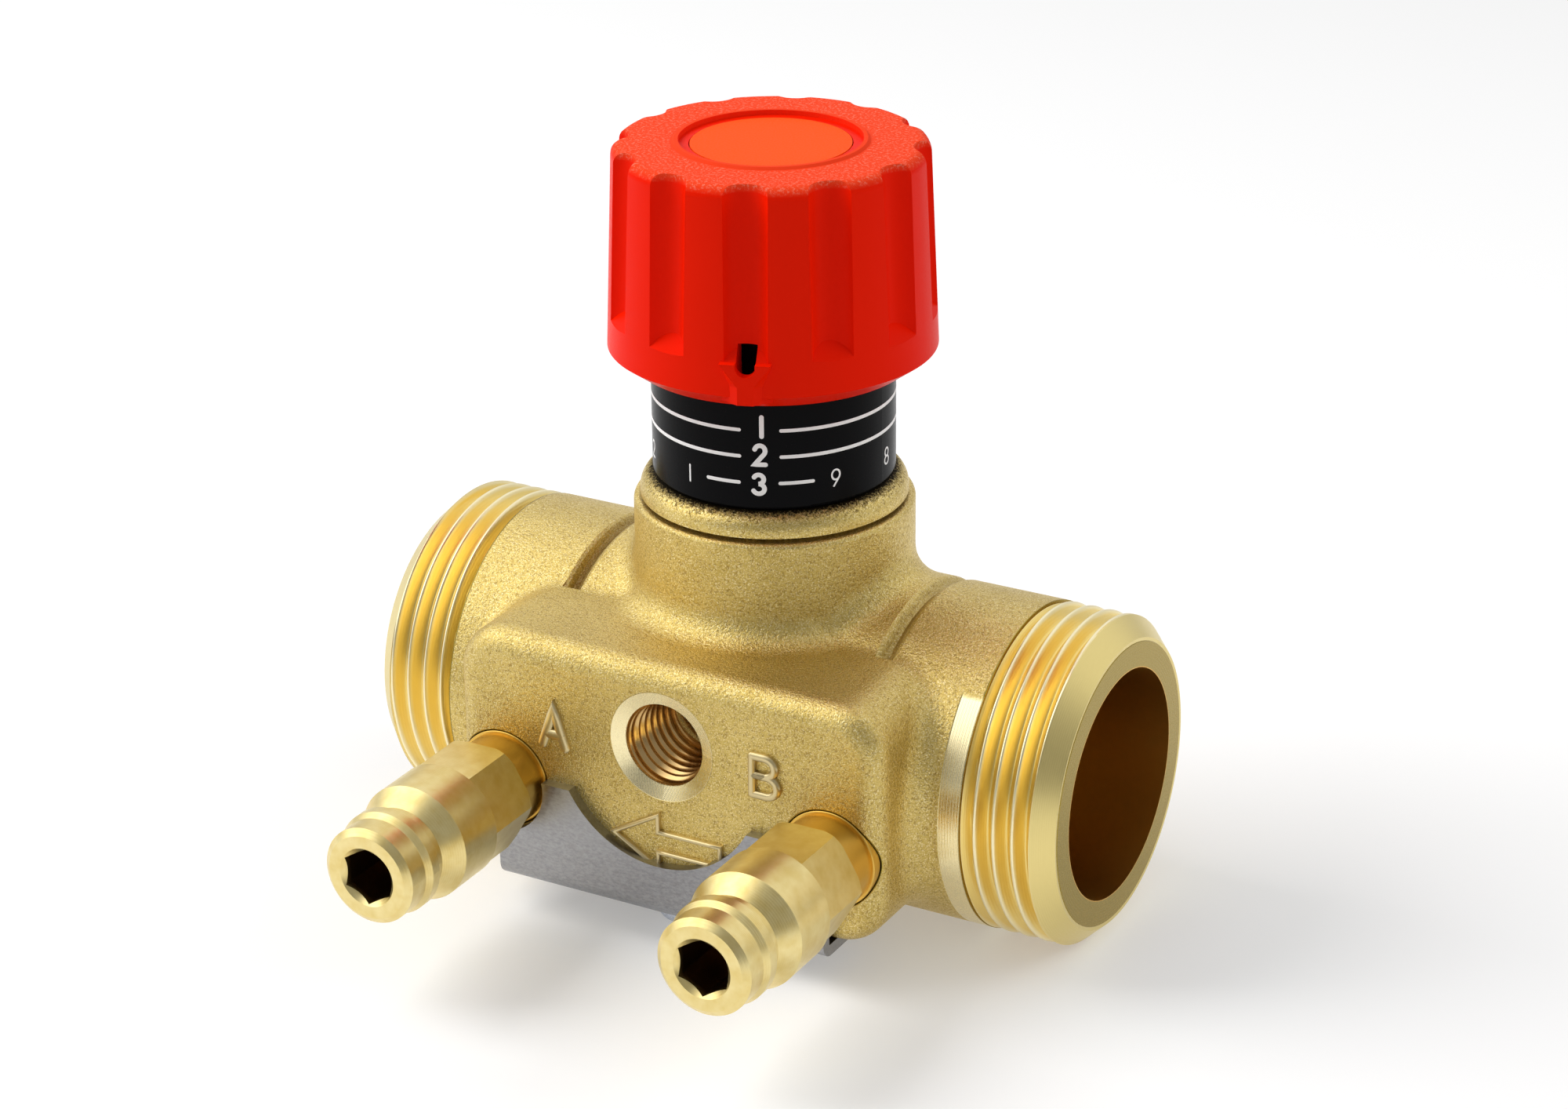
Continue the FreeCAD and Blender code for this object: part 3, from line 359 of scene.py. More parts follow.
def cast_finish(tones):
    """Casting with turned faces at the ends and round the front ports, dark bores, and painted shade in the
    creases and round the feet of the raised marks."""
    f = Finish("cast_brass", metallic=1.0)
    x, y, z = f.axes()
    reach = f.math("ABSOLUTE", x)
    out = f.far(y, z)
    front = f.spread(y, *FRONT_DEPTH)
    bore = f.overlap(f.spread(out, *BORE_RADIUS), f.spread(reach, *BORE_START))
    port = f.overlap(f.spread(f.far(x, z, PORT_AXIS), *PORT_RING), front)
    seat = f.overlap(f.spread(f.far(reach, z, NIPPLE_AXIS), *NIPPLE_SEAT), front)
    band = f.overlap(f.spread(x, *BAND_START), f.spread(f.math("ADD", z, y), *BAND_TOP),
                     f.spread(x, *BAND_END))
    turned = f.spread(reach, *END_START)
    for part in (bore, port, seat, band):
        turned = f.math("MAXIMUM", turned, part)
    cast, height = grains(f, tones, size=0.3)
    # Painted shade: darkens the creases where the hubs meet the middle of the body
    aside = f.math("ABSOLUTE", f.math("SUBTRACT", reach, CREASE_REACH))
    crease_shade = f.overlap(f.spread(aside, *CREASE_WIDTH), f.spread(y, *CREASE_FRONT),
                       f.spread(out, *CREASE_DEPTH), f.spread(z, *CREASE_LOW),
                       f.spread(x, *CREASE_SIDES, 0.7, 0.4))
    # Painted shade: the sides and feet of the raised marks are darkened as their shadow
    foot = f.overlap(f.spread(y, *MARK_FOOT), f.spread(y, *MARK_TOP, 0.0, 0.8))
    cast = f.blend(f.math("MAXIMUM", crease_shade, foot), cast, tones.stain)
    smooth = f.blend(f.math("MAXIMUM", port, band), tones.turned, tones.ring)
    smooth = f.blend(bore, smooth, tones.bore)
    f.set("Base Color", f.blend(turned, cast, smooth))
    gloss = f.weigh(bore, f.vary(f.noise(0.2, detail=1.0), 0.2, 0.3), 0.32)
    f.set("Roughness", f.weigh(turned, f.spread(height, *GRAIN_RANGE, 0.5, 0.38), gloss))
    cut = f.math("ADD", reach, out)
    lines = f.math("MULTIPLY", f.math("ADD", f.rings(cut, 0.31), f.rings(cut, 0.12)), 0.025)
    f.relief(f.weigh(turned, height, f.weigh(bore, lines, 0.0)), depth=0.09)
    return f.material


def bonnet_finish(tones):
    """Casting of the bonnet, with a dark band round the foot of the drum that is partly dust and partly
    painted shade.
    """
    f = Finish("bonnet_brass", metallic=1.0)
    x, y, z = f.axes()
    cast, height = grains(f, tones, size=0.28)
    # Partly dust, partly painted shade: a near-black band round the foot of the drum
    edge = f.math("ADD", f.far(x, y), f.math("MULTIPLY", height, 1.6))
    dust = f.overlap(f.spread(edge, *DUST_AND_SHADE_EDGE), f.spread(z, *DUST_AND_SHADE_LEVEL))
    f.set("Base Color", f.blend(dust, cast, tones.dust))
    f.set("Roughness", f.weigh(dust, f.spread(height, *GRAIN_RANGE, 0.48, 0.34), 0.8))
    f.relief(height, depth=0.05)
    return f.material


def thread_finish(tones):
    """Cut thread: deep yellow hollows, crests painted paler as a painted highlight, and a duller lead-in."""
    f = Finish("turned_thread", metallic=1.0)
    x, y, z = f.axes()
    reach = f.math("ABSOLUTE", x)
    fine = f.noise(0.25, detail=1.0, stretch=(0.2, 3, 3))
    # Painted highlight: the crests are painted paler than the hollows
    cut = f.blend(f.spread(f.far(y, z), *CREST_HIGHLIGHT_RADIUS), tones.thread, tones.crest)
    f.set("Base Color", f.blend(f.spread(reach, *LEAD_START), cut, tones.lead))
    f.set("Roughness", f.vary(fine, 0.3, 0.38))
    f.relief(f.math("ADD", f.rings(reach, 0.16), fine), depth=0.002)
    return f.material


def turned_finish(tones):
    """Turned brass of the nipples and the inner parts: polished, with fine cutting lines across the nipples'
    axis, a deeper amber tone on their necks painted in as a reflection of the recess walls, and sockets
    darkened with painted shade."""
    f = Finish("turned_nipple", metallic=1.0)
    x, y, z = f.axes()
    fine = f.noise(0.25, detail=1.0, stretch=(3, 0.2, 3))
    drift = f.spread(f.noise(1.5), 0.3, 0.75)
    # Painted reflection: the necks take a deep amber tone for the glow they reflect from the recess walls
    neck = f.overlap(f.spread(y, *NECK_FRONT), f.spread(y, *NECK_REAR))
    out = f.far(f.math("ABSOLUTE", x), z, NIPPLE_AXIS)
    # Painted shade: the nipples' sockets darken with depth
    socket = f.overlap(f.spread(out, *SOCKET_RADIUS), f.spread(y, *SOCKET_DEPTH))
    tone = f.blend(neck, f.blend(drift, tones.nipple, tones.nipple_deep), tones.nipple_neck)
    f.set("Base Color", f.blend(socket, tone, tones.stain))
    f.set("Roughness", f.vary(fine, 0.29, 0.36))
    lines = f.math("ADD", f.rings(y, 0.2), f.math("MULTIPLY", f.rings(y, 0.086), 0.6))
    f.relief(f.math("ADD", lines, fine), depth=0.002)
    return f.material


def port_finish(tones):
    """Tapped brass of the impulse port: dark and polished."""
    f = Finish("tapped_port", metallic=1.0, Base_Color=tones.port)
    f.set("Roughness", f.vary(f.noise(0.25, detail=1.0), 0.14, 0.22))
    return f.material


def plastic_finish(name, colour, grain_size, depth, roughness, gloss):
    """Moulded plastic: one colour under a fine moulding grain."""
    f = Finish(name, Base_Color=colour, Specular_IOR_Level=gloss)
    grain = f.noise(grain_size, detail=2.0)
    f.set("Roughness", f.vary(grain, roughness * 0.85, roughness * 1.15))
    f.relief(grain, depth)
    return f.material


def knob_finish(tones):
    """Moulded knob: smooth sides, and a dull powdery ring on top with a clean lip round the cap."""
    f = Finish("knob_red", Specular_IOR_Level=0.035)
    x, y, z = f.axes()
    out = f.far(x, y)
    grain = f.noise(0.22, detail=2.0)
    dust = f.noise(0.3, detail=3.0, rough=0.7)
    ring = f.overlap(f.spread(z, *RING_LEVEL), f.spread(out, *RING_INNER))
    specks = f.overlap(f.spread(dust, 0.5, 0.68), f.spread(out, *SPECK_INNER))
    powder = f.blend(specks, tones.red_top, tones.red_dust)
    f.set("Base Color", f.blend(ring, tones.red, powder))
    f.set("Roughness", f.weigh(ring, f.vary(grain, 0.3, 0.4), 0.65))
    f.relief(f.weigh(ring, grain, f.math("MULTIPLY", dust, 3.0)), depth=0.006)
    return f.material


def steel_finish(name, colour, roughness, stretch=(1, 1, 1)):
    """Rolled or plated steel: fine scratches of slightly uneven gloss."""
    f = Finish(name, metallic=1.0)
    brush = f.noise(0.22, detail=3.0, rough=0.65, stretch=stretch)
    dull, bright = ([share * c for c in colour] for share in (0.84, 1.16))
    f.set("Base Color", f.blend(f.spread(brush, 0.32, 0.68), dull, bright))
    f.set("Roughness", f.vary(brush, roughness * 0.85, roughness * 1.2))
    f.relief(brush, depth=0.006)
    return f.material


def print_finish(tones):
    """Tampon print: white ink of slightly uneven gloss."""
    f = Finish("white_print", Base_Color=tones.ink, Specular_IOR_Level=0.2)
    f.set("Roughness", f.vary(f.noise(0.2), 0.4, 0.55))
    return f.material


def finish(name):
    """Finish that an earlier step made."""
    return bpy.data.materials[name]


# ---------------------------------------------------------------- settings

def length(name, description, default):
    return FloatProperty(name=name, description=description, default=default, unit="LENGTH", precision=5)


def colour(name, description, default):
    return FloatVectorProperty(name=name, description=description, default=default, subtype="COLOR", size=3,
                               min=0, max=1)


def angle(name, description, default):
    return FloatProperty(name=name, description=description, default=math.radians(default), unit="ROTATION",
                         subtype="ANGLE")


class ValveTones(bpy.types.PropertyGroup):
    cast_light: colour("Casting, light", "Lighter patches of the casting", (0.70, 0.53, 0.165))
    cast_dark: colour("Casting, dark", "Duller patches of the casting", (0.59, 0.435, 0.12))
    cast_pit: colour("Casting, pits", "Bottom of the grain", (0.33, 0.21, 0.055))
    # Painted shade: dark tone laid in the creases, round the feet of the raised marks and deep in the sockets
    stain: colour("Stain", "Creases, feet of the raised marks and sockets", (0.20, 0.115, 0.028))
    # Partly dust, partly painted shade where the drum meets the bonnet
    dust: colour("Dust", "Dark dust on the bonnet round the drum", (0.02, 0.014, 0.006))
    # Painted highlight on the tips of the grain
    glint: colour("Casting, glints", "Bright tips of the grain", (0.93, 0.80, 0.44))
    turned: colour("Turned brass", "Machined faces of the casting", (0.35, 0.25, 0.035))
    ring: colour("Turned ring", "Bright cut round the port and by the inlet thread", (0.92, 0.80, 0.47))
    port: colour("Port thread", "Thread in the impulse port", (0.66, 0.44, 0.19))
    bore: colour("Bore", "Dull wall of the waterway", (0.70, 0.40, 0.07))
    thread: colour("Thread", "Hollows of the cut threads", (0.92, 0.71, 0.24))
    # Painted highlight on the thread crests
    crest: colour("Thread crest", "Highlighted crests", (0.97, 0.87, 0.56))
    lead: colour("Lead-in", "Chamfers at the ends of the threads", (0.78, 0.64, 0.26))
    nipple: colour("Nipple brass", "Turned nipples", (0.86, 0.72, 0.34))
    nipple_deep: colour("Nipple brass, deep", "Darker drift on the nipples", (0.76, 0.59, 0.22))
    # Painted reflection of the recess walls on the nipples' necks
    nipple_neck: colour("Nipple neck", "Deep tone between the hexagon and the block", (0.76, 0.48, 0.10))
    red: colour("Knob red", "Moulded knob", (0.88, 0.012, 0.0005))
    red_top: colour("Knob top", "Dull top ring of the knob", (0.90, 0.060, 0.016))
    red_dust: colour("Knob dust", "Specks on the top ring", (0.93, 0.22, 0.14))
    orange: colour("Cap orange", "Disc in the knob", (0.96, 0.090, 0.006))
    black: colour("Drum black", "Scale drum", (0.004, 0.004, 0.0045))
    ink: colour("Scale print", "Print on the drum", (0.95, 0.95, 0.95))
    plate: colour("Plate grey", "Retaining plate", (0.34, 0.34, 0.355))
    zinc: colour("Zinc", "Plated screw", (0.58, 0.62, 0.70))
    steel: colour("Spring steel", "Clips", (0.42, 0.42, 0.44))
    rubber: colour("Rubber", "Seals", (0.015, 0.015, 0.016))


class ValveThreads(bpy.types.PropertyGroup):
    pitch: length("Pitch", "Pitch of the pipe threads", 1.97 * MM)
    crest: length("Crest radius", "Radius over the thread crests", 16.38 * MM)
    root: length("Root radius", "Radius in the thread roots", 15.146 * MM)
    rise: length("Run-out", "Rise of the root next to the hub", 1.0 * MM)
    end: length("End radius", "Radius where the lead-in chamfer meets the end face", 14.5 * MM)
    lead: length("Lead-in", "Length of the lead-in chamfer", 1.93 * MM)
    near: length("Inner end", "Stem to the foot of the threads", THREAD_FOOT * MM)
    far: length("Outer end", "Stem to the end face", 37.99 * MM)
    port_pitch: length("Port pitch", "Pitch of the impulse port thread", 1.13 * MM)
    port_wall: length("Port root radius", "Radius in the port's thread roots", 4.27 * MM)
    port_depth: length("Port thread depth", "Height of the port's thread", 0.42 * MM)
    port_rise: length("Port rise", "Port axis over the pipe axis", PORT_AXIS[1] * MM)


class ValveCollars(bpy.types.PropertyGroup):
    outer: length("Collar radius", "Outer radius of the collar", 5.0 * MM)
    inner: length("Inner radius", "Radius inside the nipple's neck", 4.6 * MM)
    edge: length("Edge", "Rounding of the front edge", 0.15 * MM)
    front: length("Front", "Pipe axis to the front of the collar", 22.8 * MM)
    rear: length("Rear", "Pipe axis to the rear of the collar", 21.6 * MM)
    aside: length("Aside", "Stem to each nipple axis", NIPPLE_AXIS[0] * MM)
    drop: length("Drop", "Pipe axis down to the nipple axes", -NIPPLE_AXIS[1] * MM)


class ValveMarks(bpy.types.PropertyGroup):
    face: length("Face", "Pipe axis to the front of the block", BLOCK_FACE * MM)
    letter_a: length("Stroke of A", "Width of the strokes of A", 1.1 * MM)
    letter_b: length("Stroke of B", "Width of the strokes of B", 0.85 * MM)
    arrow: length("Arrow stroke", "Width of the arrow's outline", 0.5 * MM)
    height: length("Height", "Height of the raised strokes", 0.5 * MM)


class ValveScale(bpy.types.PropertyGroup):
    radius: length("Drum radius", "Radius of the scale drum", 11.96 * MM)
    film: length("Ink film", "Height of the print over the drum", 0.015 * MM)
    column: angle("Number column", "Turn of the main numbers from the front", 22.9)
    line: length("Line", "Width of the main lines", 0.36 * MM)
    bold: length("Bold stroke", "Stroke of the main numbers", 0.46 * MM)
    thin: length("Thin stroke", "Stroke of the decimals", 0.19 * MM)


class ValveStage(bpy.types.PropertyGroup):
    azimuth: angle("Azimuth", "Camera turn from the front", 29.395)
    elevation: angle("Elevation", "Camera height angle", 23.556)
    roll: angle("Roll", "Camera roll", -0.573)
    aside: length("Aside", "Camera shift to its right", 0.848 * MM)
    above: length("Above", "Camera shift along its upright", 15.062 * MM)
    back: length("Distance", "Camera distance", 389.17 * MM)
    lens: FloatProperty(name="Lens", description="Focal length", default=88.35, unit="CAMERA")
    floor: FloatProperty(name="Floor reflectance", description="White of the floor", default=0.75)
    lift: FloatProperty(name="Floor lift", description="Glow of the floor seen by camera and mirrors",
                        default=0.28)
    sky: FloatProperty(name="Sky", description="Strength of the soft light all round", default=0.6)
    key: FloatProperty(name="Key", description="Power of the main lamp", default=3.3, unit="POWER")


SETTINGS = {
    "valve_tones": ValveTones,
    "valve_threads": ValveThreads,
    "valve_collars": ValveCollars,
    "valve_marks": ValveMarks,
    "valve_scale": ValveScale,
    "valve_stage": ValveStage,
}


# ---------------------------------------------------------------- steps

NODE_SLOTS = {
    "valve_body": "cast_brass", "bonnet": "bonnet_brass", "scale_drum": "black_plastic",
    "knob": "red_plastic", "knob_cap": "orange_plastic", "retaining_plate": "plate_steel",
    "plate_screw": "zinc_steel",
    "measuring_nipple_a": "machined_brass", "measuring_nipple_b": "machined_brass",
    "throttle_cone": "machined_brass", "spindle": "machined_brass", "stop_screw": "zinc_steel",
    "cone_seal": "seal_rubber", "bonnet_o_ring": "seal_rubber", "spindle_o_ring_low": "seal_rubber",
    "spindle_o_ring_high": "seal_rubber", "nipple_a_o_ring": "seal_rubber", "nipple_b_o_ring": "seal_rubber",
    "cone_clip": "spring_steel", "knob_clip": "spring_steel",
}


class VALVE_OT_finishes(bpy.types.Operator):
    """Make the finishes and lay them on the CAD pieces"""
    bl_idname = "valve.finishes"
    bl_label = "Finishes"

    def execute(self, context):
        t = context.scene.valve_tones
        made = {
            "cast_brass": cast_finish(t),
            "bonnet_brass": bonnet_finish(t),
            "machined_brass": turned_finish(t),
            "black_plastic": plastic_finish("drum_black", t.black, grain_size=0.3, depth=0.003,
                                            roughness=0.24, gloss=0.04),
            "red_plastic": knob_finish(t),
            "orange_plastic": plastic_finish("cap_orange", t.orange, grain_size=0.2, depth=0.01,
                                             roughness=0.5, gloss=0.05),
            "seal_rubber": plastic_finish("seal_rubber", t.rubber, grain_size=0.25, depth=0.01,
                                          roughness=0.6, gloss=0.4),
            "spring_steel": steel_finish("spring_steel", t.steel, roughness=0.3),
            "plate_steel": steel_finish("plate_steel", t.plate, roughness=0.36, stretch=(2, 1, 1)),
            "zinc_steel": steel_finish("zinc_steel", t.zinc, roughness=0.26),
        }
        thread_finish(t)
        port_finish(t)
        print_finish(t)
        for name, node in NODES.items():
            node.data.materials.clear()
            node.data.materials.append(made[NODE_SLOTS[name]])
        return {"FINISHED"}


class VALVE_OT_pipe_threads(bpy.types.Operator):
    """Cut thread on both pipe ends: radius from the root plus a rounded triangle wave of the distance along
    the pipe less the turn, held over the rising run-out at the hub and a last full rim, and under the cone of
    the lead-in chamfer"""
    bl_idname = "valve.pipe_threads"
    bl_label = "Pipe threads"

    def execute(self, context):
        s = context.scene.valve_threads
        pitch, root, crest = s.pitch / MM, s.root / MM, s.crest / MM
        near, far, lead, end = s.near / MM, s.far / MM, s.lead / MM, s.end / MM
        run, rim, setback, inner = 1.0, 0.5, 0.1, 13.6
        turn = np.linspace(0, TURN, 192, endpoint=False)
        along = np.linspace(far, near, 170)
        depth = crest - root
        for name, side, start in (("inlet_thread", 1, 0.60), ("outlet_thread", -1, 0.16)):
            x, a = np.meshgrid(side * along, turn, indexing="ij")
            reach = np.abs(x)
            cut = root + thread_height(x / pitch - a / TURN + start, depth)
            run_out = root + s.rise / MM * np.clip((near + run - reach) / run, 0, 1)
            last = root + depth * np.clip(1 - (far - lead - reach) / rim, 0, 1)
            cone = end + (far - reach) * (crest - end) / lead
            radius = np.minimum(np.maximum(np.maximum(cut, run_out), last), cone)
            behind = np.stack([np.full_like(turn, side * near), np.full_like(turn, side * (far - setback))])
            x = np.concatenate([x, behind])
            radius = np.concatenate([radius, np.full_like(behind, inner)])
            a = np.concatenate([a, [turn, turn]])
            ring = np.stack([x, radius * np.cos(a), radius * np.sin(a)], -1)
            add_piece(name, [shell(ring, wrap_rows=True)], finish("turned_thread"), "valve",
                      sharp=50)
        return {"FINISHED"}


class VALVE_OT_impulse_thread(bpy.types.Operator):
    """Thread inside the impulse port: radius from the port's wall less a rounded triangle wave of the place
    along the port plus the turn, growing over the first millimetre, closed behind the wall"""
    bl_idname = "valve.impulse_thread"
    bl_label = "Impulse port thread"

    def execute(self, context):
        s = context.scene.valve_threads
        pitch, wall, depth = s.port_pitch / MM, s.port_wall / MM, s.port_depth / MM
        mouth, bottom, backing = -22.0, -13.0, 0.15
        turn = np.linspace(0, TURN, 120, endpoint=False)
        y, a = np.meshgrid(np.linspace(mouth, bottom, 160), turn, indexing="ij")
        radius = wall - thread_height(y / pitch + a / TURN, depth) * np.clip(y - mouth, 0, 1)
        radius[0], radius[-1] = wall, wall
        behind = np.stack([np.full_like(turn, bottom), np.full_like(turn, mouth)])
        y = np.concatenate([y, behind])
        radius = np.concatenate([radius, np.full_like(behind, wall + backing)])
        a = np.concatenate([a, [turn, turn]])
        ring = np.stack([radius * np.cos(a), y, s.port_rise / MM + radius * np.sin(a)], -1)
        add_piece("impulse_thread", [shell(ring, wrap_rows=True)], finish("tapped_port"), "valve",
                  sharp=50)
        return {"FINISHED"}


class VALVE_OT_nipple_collars(bpy.types.Operator):
    """Narrow collar on each nipple where it enters the block: a step with one rounded edge, turned about the
    nipple's axis"""
    bl_idname = "valve.nipple_collars"
    bl_label = "Nipple collars"

    def execute(self, context):
        s = context.scene.valve_collars
        outer, inner, edge = s.outer / MM, s.inner / MM, s.edge / MM
        front, rear = -s.front / MM, -s.rear / MM
        round_edge = arc((outer - edge, front + edge), (edge, edge), -90, 0, 6)
        profile = np.concatenate([[(inner, front)], round_edge, [(outer, rear), (inner, rear)]])
        turn = np.linspace(0, TURN, 96, endpoint=False)
        for letter, side in (("a", -1), ("b", 1)):
            radius, a = np.meshgrid(profile[:, 0], turn, indexing="ij")
            y = np.repeat(profile[:, 1:], len(turn), 1)
            x = side * s.aside / MM + radius * np.cos(a)
            ring = np.stack([x, y, radius * np.sin(a) - s.drop / MM], -1)
            add_piece(f"nipple_{letter}_collar", [shell(ring, wrap_rows=True)], finish("turned_nipple"),
                      f"nipple_{letter}", sharp=40)
        return {"FINISHED"}


class VALVE_OT_cast_marks(bpy.types.Operator):
    """Raised marks on the front of the block: the letters of the two measuring points and the outline of the
    flow arrow, as rounded ridges along their centre lines"""
    bl_idname = "valve.cast_marks"
    bl_label = "Cast marks"

    def execute(self, context):
        s = context.scene.valve_marks
        face = s.face / MM

        def on_face(across, up, lift):
            return np.stack([across, -face - lift, up], -1)

        def ridge(path, width, closed=False):
            return stroke(path, width / MM, s.height / MM, sink=0.2, place=on_face, power=3.5, closed=closed)

        letter_a = [line((-13.35, 2.5), (-12.05, 6.35), (-10.75, 2.5)), line((-12.95, 3.7), (-11.15, 3.7))]
        left, low, mid, high = 10.15, 2.6, 4.65, 6.6
        lower, upper = left + 1.5, left + 1.35
        letter_b = [
            np.concatenate([line((left, mid), (lower, mid)), arc((lower, 3.62), (1.2, 1.03), 90, -90),
                            line((lower, low), (left, low))]),
            np.concatenate([line((left, high), (upper, high)), arc((upper, 5.62), (1.1, 0.98), 90, -90),
                            line((upper, mid), (left, mid))]),
            line((left, low), (left, high)),
        ]
        tip, neck, tail = (-5.4, -5.2), -0.4, 6.5
        arrow = line(tip, (neck, -8.1), (neck, -6.3), (tail, -6.3), (tail, -4.15), (neck, -4.15),
                     (neck, -2.35), tip)[:-1]
        shells = [ridge(path, s.letter_a) for path in letter_a]
        shells += [ridge(path, s.letter_b) for path in letter_b]
        shells.append(ridge(arrow, s.arrow, closed=True))
        add_piece("cast_marks", shells, finish("cast_brass"), "valve", sharp=60)
        return {"FINISHED"}


# Centre lines of the digits in a box one unit high and wide, from the lower left corner
DIGITS = {
    "1": [line((0.5, 0.0), (0.5, 1.0))],
    "2": [np.concatenate([arc((0.5, 0.72), (0.44, 0.28), 165, -35),
                          line((0.78, 0.5), (0.06, 0.0), (0.96, 0.0))])],
    "3": [np.concatenate([arc((0.45, 0.76), (0.42, 0.24), 155, -90),
                          arc((0.45, 0.26), (0.48, 0.26), 90, -155)])],
    "4": [line((0.72, 0.0), (0.72, 1.0), (0.04, 0.3), (1.0, 0.3))],
    "5": [np.concatenate([line((0.9, 1.0), (0.2, 1.0), (0.12, 0.56)),
                          arc((0.48, 0.32), (0.46, 0.32), 140, -150)])],
    "6": [np.concatenate([line((0.72, 1.0), (0.12, 0.48)),
                          arc((0.5, 0.31), (0.44, 0.31), 150, 510, 24)])],
    "7": [line((0.04, 1.0), (0.96, 1.0), (0.36, 0.0))],
    "8": [arc((0.5, 0.75), (0.38, 0.25), -90, 270, 24), arc((0.5, 0.25), (0.45, 0.25), 90, 450, 24)],
    "9": [np.concatenate([line((0.28, 0.0), (0.88, 0.52)),
                          arc((0.5, 0.69), (0.44, 0.31), -30, 330, 24)])],
}


class VALVE_OT_scale_print(bpy.types.Operator):
    """Print on the scale drum: lines round it, whole turns in bold and tenths in thin digits, each a flat
    ribbon wrapped on the drum's radius"""
    bl_idname = "valve.scale_print"
    bl_label = "Scale print"

    def execute(self, context):
        s = context.scene.valve_scale
        radius, film = s.radius / MM, s.film / MM
        column = math.degrees(s.column)

        def on_drum(across, up, lift):
            turn = across / radius
            return np.stack([(radius + lift) * np.sin(turn), -(radius + lift) * np.cos(turn), up], -1)

        def ribbon(path, width):
            return stroke(path, width, film, sink=0.04, place=on_drum, power=8.0)

        def sweep(level, start, end):
            first, last = np.radians((start, end)) * radius
            return line((first, level), (last, level), count=max(8, int((end - start) / 3)))

        def digit(mark, turn, level, box, width):
            corner = np.array((math.radians(turn) * radius - box[0] / 2, level - box[1] / 2))
            return [ribbon(corner + path * box, width) for path in DIGITS[mark]]

        bold_box, thin_box, tenth_turn = (1.15, 1.95), (1.0, 1.66), 36
        round_line, dashes = (32.7, 373.4), ((-2.5, 13.0), (32.1, 47.4))
        shells = [ribbon(sweep(level, *round_line), s.line / MM) for level in (34.4, 31.72)]
        shells += [ribbon(sweep(29.02, *dash), s.line / MM) for dash in dashes]
        for mark, turn, level in (("1", 0.9, 34.8), ("2", 0.0, 31.92), ("3", -0.4, 28.92)):
            shells += digit(mark, column + turn, level, bold_box, s.bold / MM)
        for tenth in range(1, 10):
            shells += digit(str(tenth), column - tenth_turn * tenth, 28.95, thin_box, s.thin / MM)
        add_piece("scale_print", shells, finish("white_print"), "valve", sharp=60)
        return {"FINISHED"}


def camera_matrix(s):
    """Camera axes from azimuth, elevation and roll, and its place along them."""
    az, el, roll = s.azimuth, s.elevation, s.roll
    right = Vector((math.cos(az), math.sin(az), 0))
    back = Vector((math.sin(az) * math.cos(el), -math.cos(az) * math.cos(el), math.sin(el)))
    up = back.cross(right)
    place = right * s.aside + up * s.above + back * s.back + Vector((STEM_X, 0, 0))
    across = right * math.cos(roll) + up * math.sin(roll)
    upright = up * math.cos(roll) - right * math.sin(roll)
    matrix = Matrix.Identity(4)
    for column, axis in enumerate((across, upright, back, place)):
        for row in range(3):
            matrix[row][column] = axis[row]
    return matrix


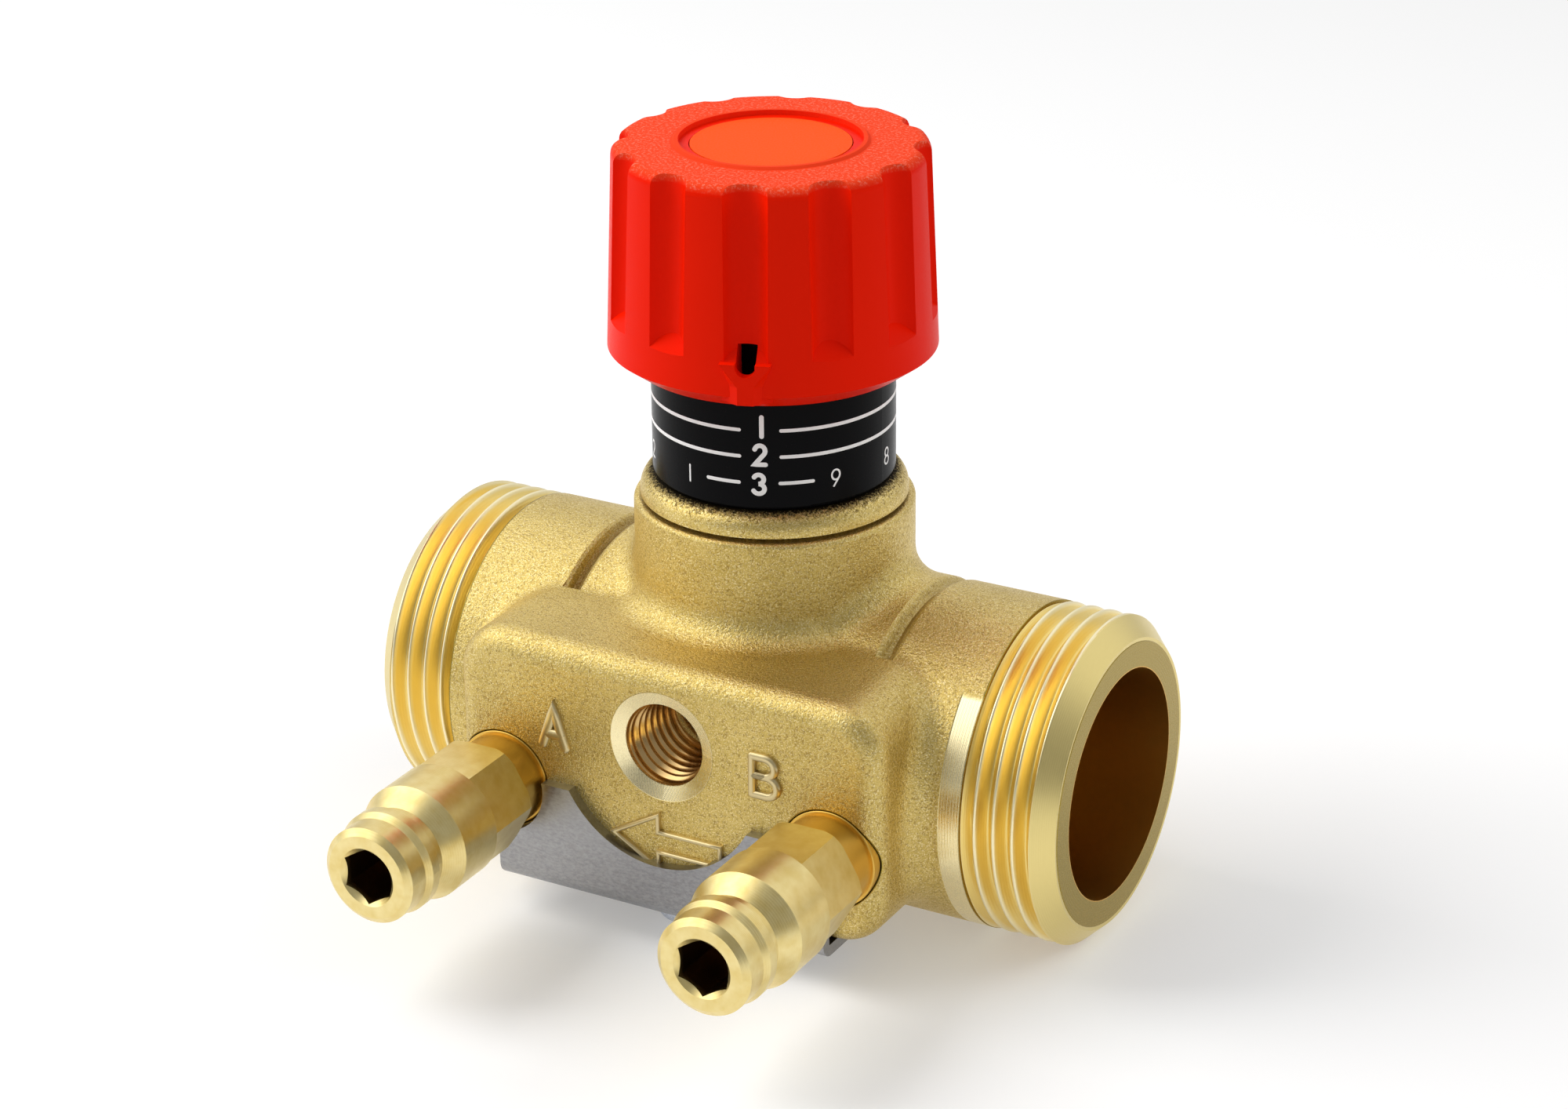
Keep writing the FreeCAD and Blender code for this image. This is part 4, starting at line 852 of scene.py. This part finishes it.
class VALVE_OT_stage(bpy.types.Operator):
    """Camera, pale floor, soft sky and lamps"""
    bl_idname = "valve.stage"
    bl_label = "Stage"

    def execute(self, context):
        s = context.scene.valve_stage
        camera = bpy.data.cameras.new("camera")
        camera.lens, camera.sensor_width, camera.sensor_fit = s.lens, 36.0, "HORIZONTAL"
        camera.clip_start, camera.clip_end = 0.01, 50.0
        seat = bpy.data.objects.new("camera", camera)
        seat.matrix_world = camera_matrix(s)
        context.scene.collection.objects.link(seat)
        context.scene.camera = seat
        context.scene.view_settings.view_transform = "Standard"
        self.floor(context, s)
        self.sky(context, s)
        self.lamps(context, s)
        return {"FINISHED"}

    def floor(self, context, s):
        """Level grid under the lowest point of the CAD box."""
        level, reach, lines = CAD_BOX[0][2], 4.0, 9
        span = np.linspace(-reach, reach, lines)
        x, y = np.meshgrid(span, span, indexing="ij")
        points = np.stack([x, y, np.full_like(x, level)], -1).reshape(-1, 3)
        mesh = bpy.data.meshes.new("floor")
        mesh.from_pydata(points.tolist(), [], grid_faces(lines, lines).tolist())
        mesh.update()
        material = bpy.data.materials.new("floor_white")
        material.use_nodes = True
        shader = material.node_tree.nodes["Principled BSDF"]
        shader.inputs["Base Color"].default_value = (s.floor, s.floor, s.floor, 1)
        shader.inputs["Roughness"].default_value = 0.9
        shader.inputs["Specular IOR Level"].default_value = 0.0
        shader.inputs["Emission Color"].default_value = (1, 1, 1, 1)
        n = Nodes(material.node_tree)
        n.feed(shader.inputs["Emission Strength"], n.math("MULTIPLY", n.seen(), s.lift))
        mesh.materials.append(material)
        floor = bpy.data.objects.new("floor", mesh)
        context.scene.collection.objects.link(floor)

    def sky(self, context, s):
        """Even white for diffuse light. Mirrors see a studio instead: white overhead, grey at the horizon and
        dark toward the front, with the halo of a soft box on the left."""
        world = bpy.data.worlds.new("sky")
        world.use_nodes = True
        context.scene.world = world
        n = Nodes(world.node_tree)
        n.tree.nodes.clear()
        way = n.add("ShaderNodeTexCoord").outputs["Generated"]
        overhead, ahead, soft_box = (0, 0, 1), (0.45, -0.80, 0.40), (-0.62, -0.33, 0.71)
        dome = n.spread(n.toward(way, overhead), 0.0, 0.4, 0.72, 1.25)
        front = n.spread(n.toward(way, ahead), 0.38, 0.7, 1.0, 0.34)
        halo = n.spread(n.toward(way, soft_box), 0.7, 0.95, 0.0, 1.5)
        studio = n.math("ADD", n.math("MULTIPLY", dome, front), halo)
        mirrored = n.add("ShaderNodeBackground", {"Strength": studio})
        even = n.add("ShaderNodeBackground", {"Strength": s.sky})
        mix = n.add("ShaderNodeMixShader", {0: n.seen(), 1: even.outputs[0], 2: mirrored.outputs[0]})
        n.add("ShaderNodeOutputWorld", {"Surface": mix.outputs[0]})

    def lamps(self, context, s):
        """Two square lamps toward the middle of the valve. Mirrors see the studio in place of them."""
        aim = Vector((STEM_X, 0, 0.015))
        for name, place, power, size in (
            ("key", (-0.44, -0.16, 0.46), s.key, 0.40),
            ("fill", (0.40, 0.20, 0.30), s.key * 0.2, 0.30),
        ):
            lamp = bpy.data.lights.new(name, "AREA")
            lamp.energy, lamp.size = power, size
            holder = bpy.data.objects.new(name, lamp)
            holder.location = aim + Vector(place)
            holder.rotation_euler = Vector(place).to_track_quat("Z", "Y").to_euler()
            holder.visible_glossy = False
            context.scene.collection.objects.link(holder)


STEPS = (VALVE_OT_finishes, VALVE_OT_pipe_threads, VALVE_OT_impulse_thread, VALVE_OT_nipple_collars,
         VALVE_OT_cast_marks, VALVE_OT_scale_print, VALVE_OT_stage)


class VALVE_PT_panel(bpy.types.Panel):
    """Steps that dress the valve"""
    bl_idname = "VALVE_PT_panel"
    bl_label = "Balancing valve"
    bl_space_type = "VIEW_3D"
    bl_region_type = "UI"
    bl_category = "Valve"

    def draw(self, context):
        for step in STEPS:
            self.layout.operator(step.bl_idname)


CLASSES = (*SETTINGS.values(), *STEPS, VALVE_PT_panel)


def register():
    for cls in CLASSES:
        bpy.utils.register_class(cls)
    for name, group in SETTINGS.items():
        setattr(bpy.types.Scene, name, PointerProperty(type=group))


def unregister():
    for name in SETTINGS:
        delattr(bpy.types.Scene, name)
    for cls in reversed(CLASSES):
        bpy.utils.unregister_class(cls)


def main():
    register()
    for step in STEPS:
        group, call = step.bl_idname.split(".")
        getattr(getattr(bpy.ops, group), call)()


if __name__ == "__main__":
    main()
